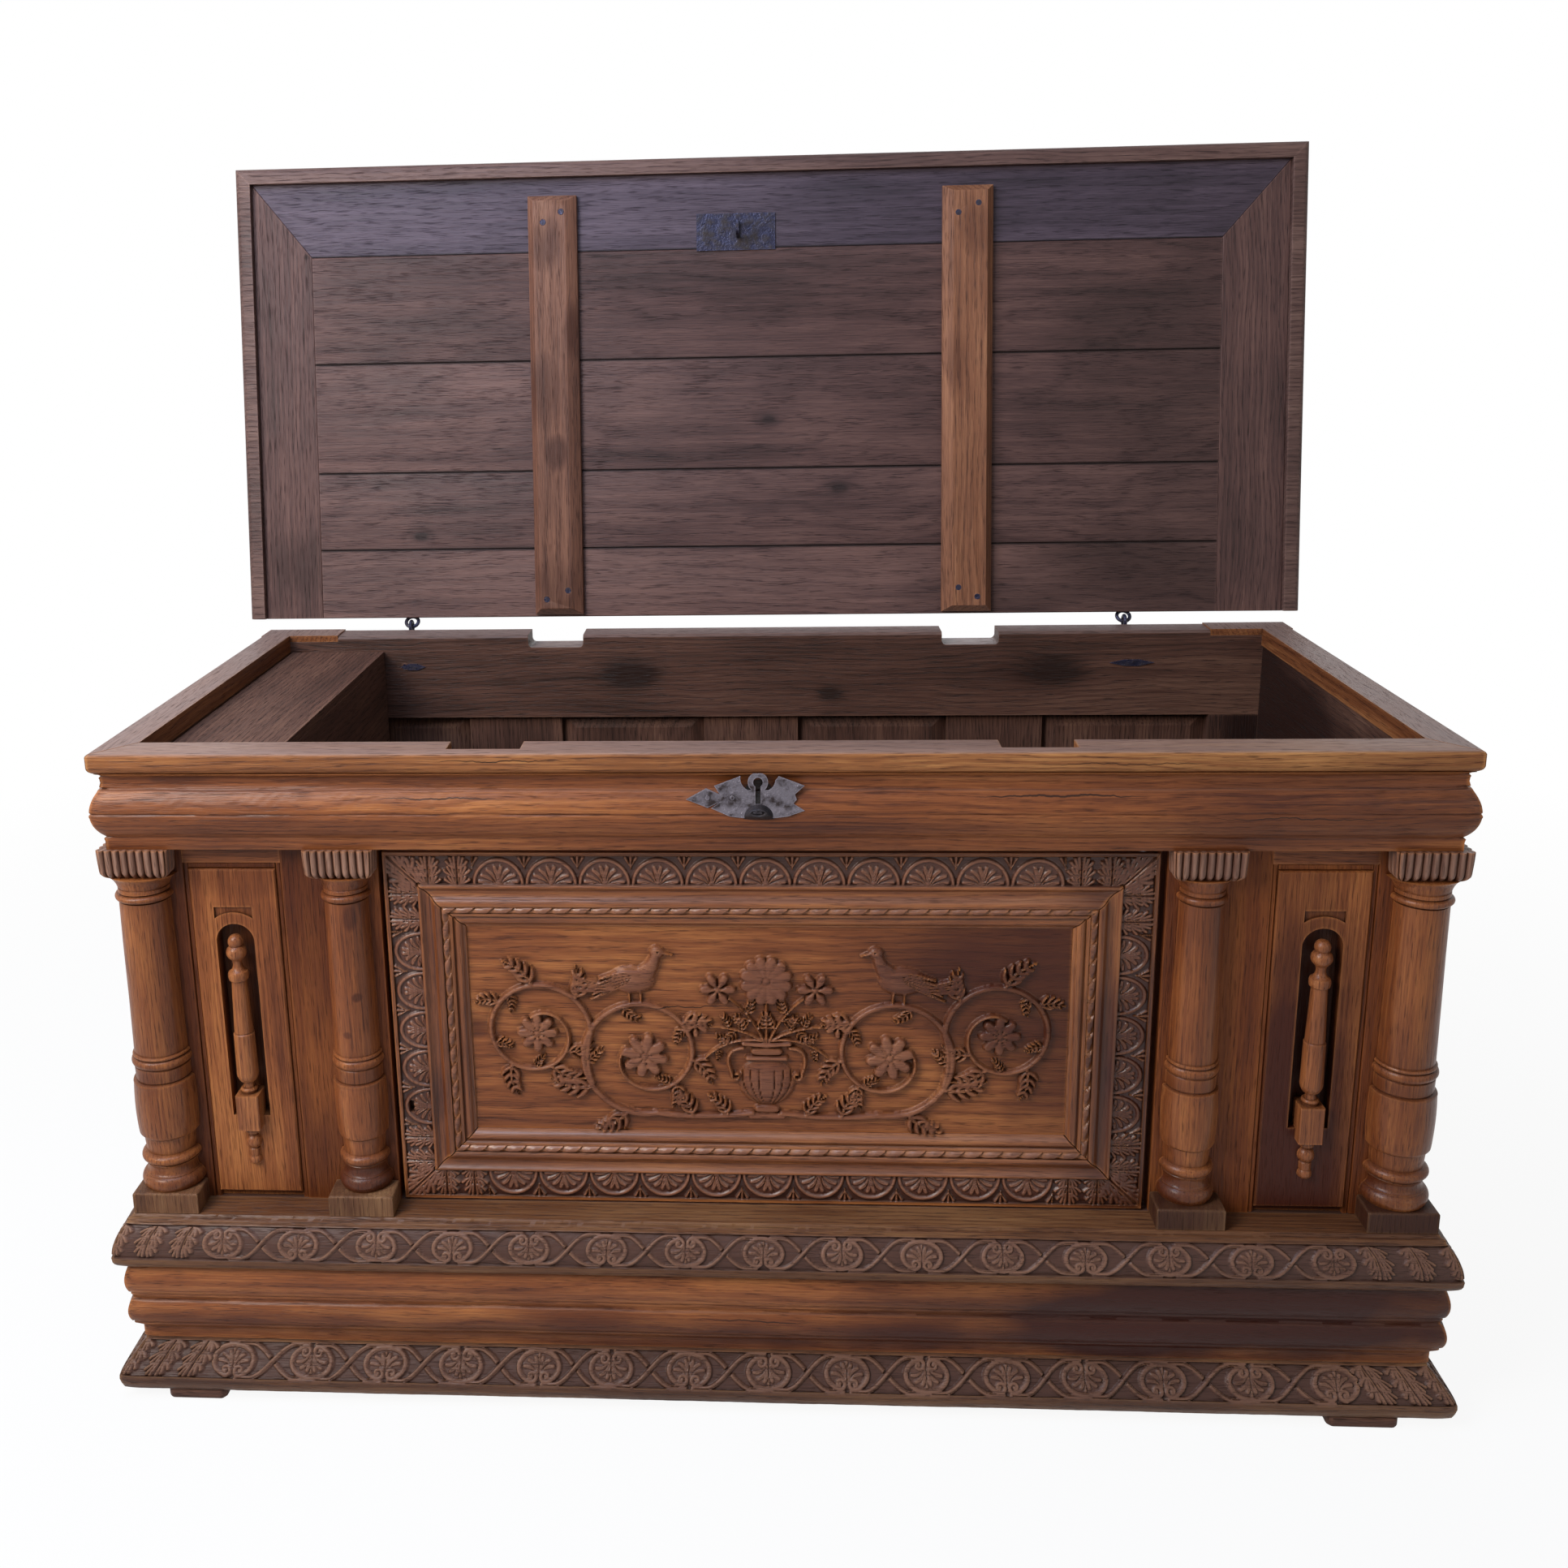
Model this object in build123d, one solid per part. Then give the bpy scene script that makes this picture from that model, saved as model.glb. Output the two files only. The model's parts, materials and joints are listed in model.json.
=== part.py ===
from build123d import *
from math import cos, radians, sin
import os

# Carved oak cassone: a lidded chest with engaged columns, a central door and a till.
# Millimetres, +Z up, -Y is the carved front. The pieces are drawn in case coordinates:
# x = 0 at the middle of the case, y = 0 at the front edge of the top frame, z = 0 at the floor.
# At export they move by SHIFT_Y, so that the origin lies under the middle of the whole object.

# ---------------------------------------------------------------- driving dimensions
CASE_HALF = 810.0          # half length of the top frame
CASE_DEPTH = 693.0         # front edge of the top frame to the back
RIM_TOP = 866.0            # top of the case
RIM_THICK = 26.0
RIM_FRONT_WIDE = 53.0
RIM_SIDE_WIDE = 46.0
LAP_THICK = 10.0           # side rails lapped over the back rail
LAP_REACH = 124.0
FRONT_FACE = 35.0          # plane of the posts and jambs, behind the rim's edge
FRAME_THICK = 31.0         # thickness of the front framing
SIDE_FACE = 790.0          # outside of the side panels
SIDE_THICK = 24.0
BACK_RAIL_THICK = 48.0
BACK_RAIL_LOW = 729.0
CORNICE_LOW = 743.0
RAIL_LOW = 735.0           # underside of the front top rail
PANEL_HEAD = 717.0         # underside of that rail over the side panels
LEDGE_TOP = 255.0
LEDGE_LOW = 187.6
MOULD_LOW = 76.6           # underside of the torus mouldings, top of the carved base
BASE_LOW = 15.0            # height of the feet
POST_EDGE = 718.6          # inner edge of a corner post
JAMB_OUTER = 596.0
JAMB_INNER = 474.5
FLOOR_LOW = 90.0           # bottom boards
FLOOR_THICK = 18.0

OUTER_COLUMN = 769.0       # column axes
INNER_COLUMN = 516.0
INNER_SCALE = 0.85         # the inner columns are slimmer
PLINTH_HALF = 42.5
PLINTH_TOP = 283.0
CAPITAL_LOW = 705.0
CAPITAL_FRONT = 3.0
CAPITAL_HALF = 44.0

LID_LEFT = -820.5          # inner edges of the lid's lips
LID_RIGHT = 812.5
LID_FRONT = -4.4
LID_BACK = 692.7
LID_THICK = 22.0
LID_GAP = 0.3              # lid to rim when closed
LIP_WIDE = 25.0
LIP_DEEP = 10.0
LIP_ROUND = 8.0            # rounding of the lips' outer edge on the lid's top
LID_OPEN = 98.35           # degrees from closed to leaning back
END_BOARD_LEFT = -726.0    # inner edges of the lid's end boards
END_BOARD_RIGHT = 710.5
LID_SEAMS = (111.7, 281.7, 457.2, 581.7)
HINGE_Y = 707.4
HINGE_Z = RIM_TOP
HINGE_X = (-580.0, 568.0)
CASE_LOOP_R = 9.0
LID_LOOP_R = 10.0
LOOP_WIRE = 2.8
PIN_R = 3.4                # the driven tails of the hinge loops
BATTEN_X = (-334.5, 318.0)
BATTEN_HALF = 39.0
BATTEN_THICK = 20.0
BATTEN_Y = (24.7, 688.7)
NOTCH_DEEP = 22.0

DOOR_LEFT = -469.0
DOOR_RIGHT = 466.0
DOOR_LOW = 257.0
DOOR_TOP = 731.0
DOOR_BACK = 65.0
DOOR_MEMBER = 98.0         # width of the door's frame with its mouldings
PIVOT_X = 446.0
PIVOT_Y = 43.0
PIVOT_R = 5.0
RUNNING = 0.05             # radial clearance of pins that turn
DOOR_KEY_X = -452.0
DOOR_KEY_Z = 388.0

TILL_EDGE = -612.0
TILL_LOW = 690.0
TILL_LID_LOW = 827.0
TILL_LID_THICK = 12.0
TILL_PIN_X = -757.0
TILL_PIN_R = 4.5
TILL_BOARD = 15.0

KEY_X = -9.0               # chest keyhole
KEY_Z = 830.5
KEY_R = 5.6
KEY_SLOT = 3.1             # half width of the slot
KEY_SLOT_LOW = 805.5
STAPLE_X = -41.0
NICHE_X = 660.0
NICHE_R = 24.0
NICHE_TOP = 637.0
NICHE_LOW = 374.0
NICHE_DEEP = 20.0
FIELD_FACE = 33.0          # front of the side panels' raised fields

# ---------------------------------------------------------------- derived values
INNER = SIDE_FACE - SIDE_THICK
FRAME_BACK = FRONT_FACE + FRAME_THICK
BACK_INNER = CASE_DEPTH - BACK_RAIL_THICK
RIM_LOW = RIM_TOP - RIM_THICK
RIM_INNER = CASE_HALF - RIM_SIDE_WIDE
LID_UNDER = RIM_TOP + LID_GAP
LID_TOP = LID_UNDER + LID_THICK
LIP_LOW = LID_UNDER - LIP_DEEP
CUT = 60.0                 # how far cutting tools run past a piece
FRONT_REACH = 35.4         # the carved base stands this far in front of the rim
LEAN = radians(LID_OPEN - 90.0)
LID_LENGTH = HINGE_Y - LID_FRONT + LIP_WIDE - LIP_ROUND
BACK_REACH = HINGE_Y + LID_LENGTH * sin(LEAN) + (LID_TOP - HINGE_Z) * cos(LEAN)
SHIFT_Y = (FRONT_REACH - BACK_REACH) / 2

os.makedirs("parts", exist_ok=True)


# ---------------------------------------------------------------- helpers
def block(x, y, z):
    """A box between pairs of limits."""
    low = (Align.MIN, Align.MIN, Align.MIN)
    return Pos(x[0], y[0], z[0]) * Box(x[1] - x[0], y[1] - y[0], z[1] - z[0], align=low)


def outline(points):
    """A closed flat face; after the first point, an entry is a point or ("arc", through, end)."""
    edges = []
    here = points[0]
    for step in points[1:]:
        if step[0] == "arc":
            edges.append(ThreePointArc(here, step[1], step[2]))
            here = step[2]
        else:
            edges.append(Line(here, step))
            here = step
    edges.append(Line(here, points[0]))
    return make_face(edges)


def moved(points, place):
    """The same outline with every point passed through place."""
    return [("arc", place(s[1]), place(s[2])) if s[0] == "arc" else place(s) for s in points]


def plan_prism(points, z):
    """An outline in x and y raised from z[0] to z[1]."""
    return Pos(0, 0, z[0]) * extrude(outline(points), amount=z[1] - z[0], dir=(0, 0, 1))


def front_prism(points, y):
    """An outline in x and z carried from y[1] forward to y[0]."""
    return Pos(0, y[1], 0) * extrude(Plane.XZ * outline(points), amount=y[1] - y[0], dir=(0, -1, 0))


def side_prism(points, x):
    """An outline in y and z carried from x[0] to x[1]."""
    return Pos(x[0], 0, 0) * extrude(Plane.YZ * outline(points), amount=x[1] - x[0], dir=(1, 0, 0))


def rod(radius, start, end):
    """A round bar between two points."""
    line = Vector(*end) - Vector(*start)
    section = Plane(origin=start, z_dir=line) * Circle(radius)
    return extrude(section, amount=line.length, dir=line.normalized())


def mirrored(piece):
    """The piece's image in the middle plane of the case."""
    return mirror(piece, Plane.YZ)


def turned(profile, x, y):
    """A turned form about a vertical axis, from (radius, z) points."""
    low, high = profile[0][1], profile[-1][-1][1] if profile[-1][0] == "arc" else profile[-1][1]
    face = Plane.XZ * outline([(0, low)] + profile + [(0, high)])
    return Pos(x, y, 0) * revolve(face, Axis.Z, 360)


def scaled(profile, factor):
    """A turning profile with its radii changed."""
    return moved(profile, lambda q: (q[0] * factor, q[1]))


def place_open(piece):
    """Turn a piece of the lid from its closed place to leaning back on its hinges."""
    return Pos(0, HINGE_Y, HINGE_Z) * Rot(-LID_OPEN, 0, 0) * Pos(0, -HINGE_Y, -HINGE_Z) * piece


def save(node, *pieces):
    """Write one sub-part, moved into the part's own frame."""
    solids = []
    for piece in pieces:
        solids += [Pos(0, SHIFT_Y, 0) * solid for solid in piece.solids()]
    shape = solids[0] if len(solids) == 1 else Compound(children=solids)
    shape.label = node
    export_step(shape, f"parts/{node}.step")


# ---------------------------------------------------------------- mitred case mouldings
# Sections are (projection beyond the rim's edge, height); the back plane is the front framing.
BACK = -FRONT_FACE
CORNICE = [(BACK, CORNICE_LOW), (-9.8, CORNICE_LOW), (-9.8, 753.5), (-9, 758),
           ("arc", (4.5, 791), (-10, 824)), (-11, 828), ("arc", (-9, 836), (-3, RIM_LOW)),
           (BACK, RIM_LOW)]
LEDGE = [(BACK, LEDGE_LOW), (15, LEDGE_LOW), ("arc", (24, 190.5), (29, 198)), (29.8, 205),
         ("arc", (24.5, 228), (13, 245)), (12, 246), (11, 250), (7, 251), (5, LEDGE_TOP),
         (BACK, LEDGE_TOP)]
MOULDS = [(BACK, MOULD_LOW), (8.5, MOULD_LOW), (8.5, 92), (14, 98.2),
          ("arc", (21.5, 117.7), (16.5, 135.5)), (14.8, 138.5), (15.5, 142),
          ("arc", (21.7, 165), (14, LEDGE_LOW)), (BACK, LEDGE_LOW)]
BASE = [(BACK, BASE_LOW), (30.6, BASE_LOW), (34, 24), ("arc", (35.4, 33), (33, 41)),
        ("arc", (20, 53.5), (7, 67.5)), (6.5, MOULD_LOW), (BACK, MOULD_LOW)]


def moulding_front(section):
    """The front length, mitred at both corners."""
    bar = side_prism(moved(section, lambda q: (-q[0], q[1])), (-CASE_HALF - CUT, CASE_HALF + CUT))
    half, deep = CASE_HALF + CUT, CASE_HALF - FRONT_FACE
    plan = [(-half, -CUT), (half, -CUT), (deep, FRONT_FACE), (-deep, FRONT_FACE)]
    return bar & plan_prism(plan, (0, RIM_TOP))


def moulding_return(section):
    """The left length, from its mitre to the back of the case."""
    points = moved(section, lambda q: (-CASE_HALF - q[0], q[1]))
    bar = front_prism(points, (-CUT, CASE_DEPTH))
    half, deep = CASE_HALF + CUT, CASE_HALF - FRONT_FACE
    plan = [(-half, -CUT), (-deep, FRONT_FACE), (-SIDE_FACE, FRONT_FACE),
            (-SIDE_FACE, CASE_DEPTH), (-half, CASE_DEPTH)]
    return bar & plan_prism(plan, (0, RIM_TOP))


def keyway(y):
    """The chest keyhole's space: a round head over a slot."""
    head = rod(KEY_R, (KEY_X, y[0], KEY_Z), (KEY_X, y[1], KEY_Z))
    return head + block((KEY_X - KEY_SLOT, KEY_X + KEY_SLOT), y, (KEY_SLOT_LOW, KEY_Z))


# ---------------------------------------------------------------- hinges
TAIL_DIR = Vector(0, -0.766, -0.643)       # the case loop's tail, down into the back rail
EYE_DIR = Vector(0, -0.777, 0.629)         # the lid loop's tail with the lid closed


def along(x, direction, length):
    """A point at a distance from the hinge axis."""
    return (x, HINGE_Y + direction.Y * length, HINGE_Z + direction.Z * length)


def case_tail(x):
    """The tail of a case loop, from the loop to the rail's inner face."""
    reach = (HINGE_Y - BACK_INNER) / -TAIL_DIR.Y
    return rod(PIN_R, along(x, TAIL_DIR, CASE_LOOP_R), along(x, TAIL_DIR, reach + CUT / 10))


def lens(half, wide):
    """A leaf outline, pointed at both ends."""
    return [(-half, 0), (-half / 3, -wide), (half / 3, -wide), (half, 0), (half / 3, wide),
            (-half / 3, wide)]


def clinch(x, left, right):
    """The case tail's ends, hammered flat against the rail's inner face."""
    drop = (HINGE_Y - BACK_INNER) / TAIL_DIR.Y * -TAIL_DIR.Z
    middle = x + (right - left) / 2
    points = moved(lens((left + right) / 2, 5), lambda q: (middle + q[0], HINGE_Z + drop + q[1]))
    return front_prism(points, (BACK_INNER - 2, BACK_INNER))


def hinge_loops_case():
    loops = []
    for x, left in zip(HINGE_X, (6.0, 34.0)):
        loop = Pos(x, HINGE_Y, HINGE_Z) * Rot(0, 90, 0) * Torus(CASE_LOOP_R, LOOP_WIRE)
        tail = case_tail(x) & block((x - CUT, x + CUT), (BACK_INNER, HINGE_Y), (0, RIM_TOP))
        loops.append(loop + tail + clinch(x, left, 34.0))
    return loops


def lid_loop(x):
    """A lid loop and its tail, in the closed place."""
    turn = 180 - 39.0
    loop = Pos(*along(x, EYE_DIR, LID_LOOP_R)) * Rot(turn, 0, 0) * Torus(LID_LOOP_R, LOOP_WIRE)
    reach = (LID_TOP - HINGE_Z) / EYE_DIR.Z
    tail = rod(PIN_R, along(x, EYE_DIR, 2 * LID_LOOP_R), along(x, EYE_DIR, reach + 3))
    tail = tail & block((x - CUT, x + CUT), (0, HINGE_Y), (0, LID_TOP))
    end_y = along(x, EYE_DIR, reach)[1]
    leaf = plan_prism(moved(lens(34, 5), lambda q: (x + q[0], end_y + q[1])), (LID_TOP, LID_TOP + 2))
    return loop + tail + leaf


# ---------------------------------------------------------------- top frame and cornice
def batten_notch(y):
    """The spaces that the lid's battens drop into, with rounded bottom corners."""
    tools = []
    for x in BATTEN_X:
        half = BATTEN_HALF + 5
        tool = block((x - half, x + half), y, (RIM_TOP - NOTCH_DEEP, RIM_TOP + CUT))
        low_edges = tool.edges().filter_by(Axis.Y).sort_by(Axis.Z)[:2]
        tools.append(fillet(low_edges, radius=7))
    return tools[0] + tools[1]


def top_frame_front():
    rim = [(0, RIM_LOW + 5), ("arc", (1.5, RIM_LOW + 1.5), (5, RIM_LOW)), (RIM_FRONT_WIDE, RIM_LOW),
           (RIM_FRONT_WIDE, RIM_TOP), (4, RIM_TOP), ("arc", (1.2, RIM_TOP - 1.2), (0, RIM_TOP - 4))]
    plan = [(-CASE_HALF, 0), (CASE_HALF, 0), (RIM_INNER, RIM_FRONT_WIDE), (-RIM_INNER, RIM_FRONT_WIDE)]
    bar = side_prism(rim, (-CASE_HALF, CASE_HALF)) & plan_prism(plan, (RIM_LOW, RIM_TOP))
    return bar - batten_notch((22, RIM_FRONT_WIDE + CUT))


def top_frame_left():
    edge = -CASE_HALF
    rim = [(edge, RIM_LOW + 5), ("arc", (edge + 1.5, RIM_LOW + 1.5), (edge + 5, RIM_LOW)),
           (-RIM_INNER, RIM_LOW), (-RIM_INNER, RIM_TOP), (edge + 4, RIM_TOP),
           ("arc", (edge + 1.2, RIM_TOP - 1.2), (edge, RIM_TOP - 4))]
    plan = [(edge, 0), (-RIM_INNER, RIM_FRONT_WIDE), (-RIM_INNER, BACK_INNER), (edge, BACK_INNER)]
    rail = front_prism(rim, (0, BACK_INNER)) & plan_prism(plan, (RIM_LOW, RIM_TOP))
    lap = block((edge, edge + LAP_REACH), (BACK_INNER, CASE_DEPTH), (RIM_TOP - LAP_THICK, RIM_TOP))
    return rail + lap


def back_top_rail():
    top = RIM_TOP - 2
    rail = block((-SIDE_FACE, SIDE_FACE), (BACK_INNER, CASE_DEPTH), (BACK_RAIL_LOW, RIM_LOW))
    cap = block((-CASE_HALF, CASE_HALF), (BACK_INNER, CASE_DEPTH), (RIM_LOW, top))
    inner_edge = [(BACK_INNER, top - 4), (BACK_INNER, top), (BACK_INNER + 4, top)]
    rail = rail + cap - side_prism(inner_edge, (-CASE_HALF, CASE_HALF))
    for side in (-1, 1):
        ends = sorted((side * CASE_HALF, side * (CASE_HALF - LAP_REACH)))
        rail -= block(ends, (BACK_INNER, CASE_DEPTH), (RIM_TOP - LAP_THICK, RIM_TOP))
    rail -= batten_notch((BACK_INNER - CUT, CASE_DEPTH + CUT))
    for x in HINGE_X:
        rail -= case_tail(x)
    pin = (TILL_PIN_X, BACK_INNER, TILL_LID_LOW + TILL_LID_THICK / 2)
    return rail - rod(TILL_PIN_R + RUNNING, pin, (pin[0], BACK_INNER + 11, pin[2]))


def escutcheon(rim):
    """A flat iron plate that leans against the cornice, with two rivets and a keyhole."""
    edge = [(-84, -20.1), (-60.4, -7), (-44.5, -14.3), (-51.1, -4.2), (-27, 4.8), (-20.3, 7.4),
            ("arc", (-17.5, -4.5), (-11.6, -9.2)), (12, -9.2), ("arc", (17.5, -5), (20.2, 2)),
            (24.3, 7.1), (39.7, 1.5), (54.1, -4.2), (42.8, -14.3), (44.9, -20.5), (40.8, -25),
            (54.1, -33.4), (34.6, -40.2), (20.2, -41.9), (-18.8, -41.9), (-33.2, -40.2),
            (-54.7, -30.6), (-43.4, -22.7), (-58.8, -30)]
    plate_plane = Plane(origin=(KEY_X, 2.25, KEY_Z), x_dir=(1, 0, 0), z_dir=(0, -0.986, 0.1645))
    ring = Circle(11.8)
    plate = extrude(plate_plane * (outline(edge) + ring), amount=2, dir=(0, -0.986, 0.1645))
    for x, z in ((-59.0, -18.0), (-30.0, -18.0)):
        rivet = extrude(plate_plane * Pos(x, z) * Circle(2.6), amount=3.4, dir=(0, -0.986, 0.1645))
        plate += rivet
    cornice = side_prism(moved(CORNICE, lambda q: (-q[0], q[1])), (-200, 200))
    return plate - keyway((-CUT, CUT)) - cornice - rim


# ---------------------------------------------------------------- front framing and panels
def front_top_rail():
    y = (FRONT_FACE, FRAME_BACK)
    rail = block((-SIDE_FACE, SIDE_FACE), y, (RAIL_LOW, RIM_LOW))
    for side in (-1, 1):
        ends = sorted((side * POST_EDGE, side * JAMB_OUTER))
        rail += block(ends, y, (PANEL_HEAD, RAIL_LOW))
    pin = (TILL_PIN_X, FRAME_BACK, TILL_LID_LOW + TILL_LID_THICK / 2)
    rail -= rod(TILL_PIN_R + RUNNING, (pin[0], FRAME_BACK - 11, pin[2]), pin)
    rail -= rod(PIVOT_R + RUNNING, (PIVOT_X, PIVOT_Y, RAIL_LOW), (PIVOT_X, PIVOT_Y, RAIL_LOW + 13))
    return rail - keyway((0, FRAME_BACK))


def post_front_left():
    return block((-SIDE_FACE, -POST_EDGE), (FRONT_FACE, FRAME_BACK), (LEDGE_TOP, RAIL_LOW))


def jamb_left():
    """The lock side's jamb, with a lip behind for the door to close on and a mortise for its bolt."""
    z = (LEDGE_TOP, RAIL_LOW)
    jamb = block((-JAMB_OUTER, -JAMB_INNER), (FRONT_FACE, FRAME_BACK), z)
    jamb += block((-JAMB_OUTER, DOOR_LEFT + 11), (FRAME_BACK, FRAME_BACK + 14), z)
    return jamb - block((-JAMB_INNER - 13, -JAMB_INNER), (51, 61), (DOOR_KEY_Z - 9, DOOR_KEY_Z + 9))


def jamb_right():
    return block((JAMB_INNER, JAMB_OUTER), (FRONT_FACE, FRAME_BACK), (LEDGE_TOP, RAIL_LOW))


def front_sill():
    sill = block((-SIDE_FACE, SIDE_FACE), (FRONT_FACE, FRAME_BACK), (BASE_LOW, LEDGE_TOP))
    return sill - rod(PIVOT_R + RUNNING, (PIVOT_X, PIVOT_Y, LEDGE_TOP - 13), (PIVOT_X, PIVOT_Y, LEDGE_TOP))


def front_panel_left():
    """A board with a raised field, an arched niche and a sunk spandrel above it."""
    board = block((-POST_EDGE, -JAMB_OUTER), (42, 60), (LEDGE_TOP, PANEL_HEAD))
    field = block((-POST_EDGE + 7, -JAMB_OUTER - 7), (FIELD_FACE, 42), (LEDGE_TOP + 10, PANEL_HEAD - 8))
    field = chamfer(field.faces().sort_by(Axis.Y)[0].edges(), 1.5)
    x, spring = -NICHE_X, NICHE_TOP - NICHE_R
    niche = [(x - NICHE_R, NICHE_LOW), (x + NICHE_R, NICHE_LOW), (x + NICHE_R, spring),
             ("arc", (x, NICHE_TOP), (x - NICHE_R, spring))]
    spandrel = [(x - NICHE_R, 644), ("arc", (x, 652), (x + NICHE_R, 644)), (x + NICHE_R, 659),
                (x - NICHE_R, 659)]
    panel = board + field
    panel -= front_prism(niche, (0, FIELD_FACE + NICHE_DEEP))
    return panel - front_prism(spandrel, (0, FIELD_FACE + 3))


def panel_mouldings_left():
    """Thin strips round the raised field: two sides and the head."""
    front, back, wide = 36.5, 42.0, 7.0
    low, high = LEDGE_TOP, PANEL_HEAD
    left, right = -POST_EDGE, -JAMB_OUTER
    strips = [block((left, left + wide), (front, back), (low, high)),
              block((right - wide, right), (front, back), (low, high)),
              block((left + wide, right - wide), (front, back), (high - 8, high))]
    return [chamfer(strip.faces().sort_by(Axis.Y)[0].edges().sort_by(SortBy.LENGTH)[-2:], 1.6)
            for strip in strips]


BALUSTER = [(6, 308), (8.5, 311), ("arc", (8.8, 315), (7, 319)), (7.5, 321), (7.5, 329), (6, 330.5),
            ("arc", (10.4, 340), (5.5, 348.5)), (9, 352), (9, 358), (9, 410), ("arc", (10.5, 413), (7, 416)),
            (6, 422), (10, 425), ("arc", (13, 431), (13.5, 440)), (13, 490), (11.3, 491.5), (11.8, 493),
            (9.5, 562), (12, 564), ("arc", (12.8, 569), (11.8, 574)), ("arc", (6.5, 580), (6.5, 589)),
            (9, 592), ("arc", (12.6, 601), (8, 608.5)), ("arc", (9.5, 615), (5, 622)), (2, 623)]


def baluster_left(panel):
    """Turned about the panel's face: whole in the niche, split where it lies on the panel."""
    turning = turned(BALUSTER, -NICHE_X, FIELD_FACE)
    square = block((-NICHE_X - 14.5, -NICHE_X + 14.5), (FIELD_FACE - 14.5, FIELD_FACE + 14.5), (360, 408))
    return turning + chamfer(square.edges().filter_by(Axis.Z), 1.2) - panel


# ---------------------------------------------------------------- columns
COLUMN = [(37, PLINTH_TOP), ("arc", (40.5, 292), (37, 301.5)), (34, 303), ("arc", (32, 311), (34.5, 318.5)),
          ("arc", (38, 325), (34.5, 331.5)), (31.5, 333), (33.8, 356), (37.5, 357.5),
          ("arc", (40, 395), (38.2, 431)), (35.5, 433), (35.5, 452), ("arc", (38, 461), (35.5, 469.5)),
          (34, 471), (31.6, 674.5), ("arc", (35.8, 679), (31.6, 683.5)), (31, 690),
          ("arc", (33.5, 699), (39, CAPITAL_LOW))]


def column(x, factor):
    """A half-round turned column standing against the framing."""
    front_half = block((-CASE_HALF - CUT, CASE_HALF + CUT), (-CUT, FRONT_FACE), (0, RIM_TOP))
    return turned(scaled(COLUMN, factor), x, FRONT_FACE) & front_half


def column_plinth(x, half):
    plinth = block((x - half, x + half), (-5, FRONT_FACE), (LEDGE_TOP, PLINTH_TOP))
    return chamfer(plinth.faces().sort_by(Axis.Z)[-1].edges().sort_by(Axis.Y)[:3], 1.5)


def capital(x, half):
    capital_block = block((x - half, x + half), (CAPITAL_FRONT, FRONT_FACE), (CAPITAL_LOW, CORNICE_LOW))
    return fillet(capital_block.faces().sort_by(Axis.Z)[0].edges().sort_by(Axis.Y)[:1], 6)


# ---------------------------------------------------------------- lower case, sides and back
def foot(x, y):
    piece = block(x, y, (0, BASE_LOW))
    return chamfer(piece.edges().filter_by(Axis.Z), 6)


def bottom_boards():
    return block((-INNER, INNER), (FRAME_BACK, BACK_INNER), (FLOOR_LOW, FLOOR_LOW + FLOOR_THICK))


def side_panel_left():
    return block((-SIDE_FACE, -INNER), (FRAME_BACK, BACK_INNER), (BASE_LOW, RIM_LOW))


BACK_POST_EDGE = 690.0
BACK_FRAME = (655.0, CASE_DEPTH)
BACK_SILL_TOP = 160.0
MUNTINS = (-406.0, -26.0, 360.0)
MUNTIN_HALF = 75.0


def back_posts():
    left = block((-SIDE_FACE, -BACK_POST_EDGE), (BACK_INNER, CASE_DEPTH), (BASE_LOW, BACK_RAIL_LOW))
    return [left, mirrored(left)]


def back_bottom_rail():
    return block((-BACK_POST_EDGE, BACK_POST_EDGE), (BACK_INNER, CASE_DEPTH), (BASE_LOW, BACK_SILL_TOP))


def back_muntins():
    z = (BACK_SILL_TOP, BACK_RAIL_LOW)
    return [block((x - MUNTIN_HALF, x + MUNTIN_HALF), BACK_FRAME, z) for x in MUNTINS]


def back_panels():
    """Four boards with a field raised towards the inside by a bevel."""
    edges = [-BACK_POST_EDGE]
    for x in MUNTINS:
        edges += [x - MUNTIN_HALF, x + MUNTIN_HALF]
    edges.append(BACK_POST_EDGE)
    panels = []
    shoulder, face, bevel = 667, 660, 22
    low, high = BACK_SILL_TOP, BACK_RAIL_LOW
    side = [(678, low), (shoulder, low), (face, low + bevel), (face, high - bevel), (shoulder, high),
            (678, high)]
    for left, right in zip(edges[::2], edges[1::2]):
        plan = [(left, 678), (left, shoulder), (left + bevel, face), (right - bevel, face),
                (right, shoulder), (right, 678)]
        panels.append(plan_prism(plan, (low, high)) & side_prism(side, (left, right)))
    return panels


def till_front():
    y = (FRAME_BACK, BACK_INNER)
    return block((TILL_EDGE - TILL_BOARD, TILL_EDGE), y, (TILL_LOW, TILL_LID_LOW - 0.2))


def till_bottom():
    return block((-INNER, TILL_EDGE - TILL_BOARD), (FRAME_BACK, BACK_INNER), (TILL_LOW, TILL_LOW + 12))


def till_lid():
    """A thin board with round wooden pegs at one edge, which turn in holes in the rails."""
    z = (TILL_LID_LOW, TILL_LID_LOW + TILL_LID_THICK)
    board = block((TILL_PIN_X - 6.5, TILL_EDGE), (FRAME_BACK + 0.5, BACK_INNER - 0.5), z)
    board = fillet(board.edges().filter_by(Axis.Y).sort_by(Axis.X)[:2], 4)
    middle = TILL_LID_LOW + TILL_LID_THICK / 2
    peg = rod(TILL_PIN_R, (TILL_PIN_X, FRAME_BACK - 10, middle), (TILL_PIN_X, BACK_INNER + 10, middle))
    return board + peg


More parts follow.
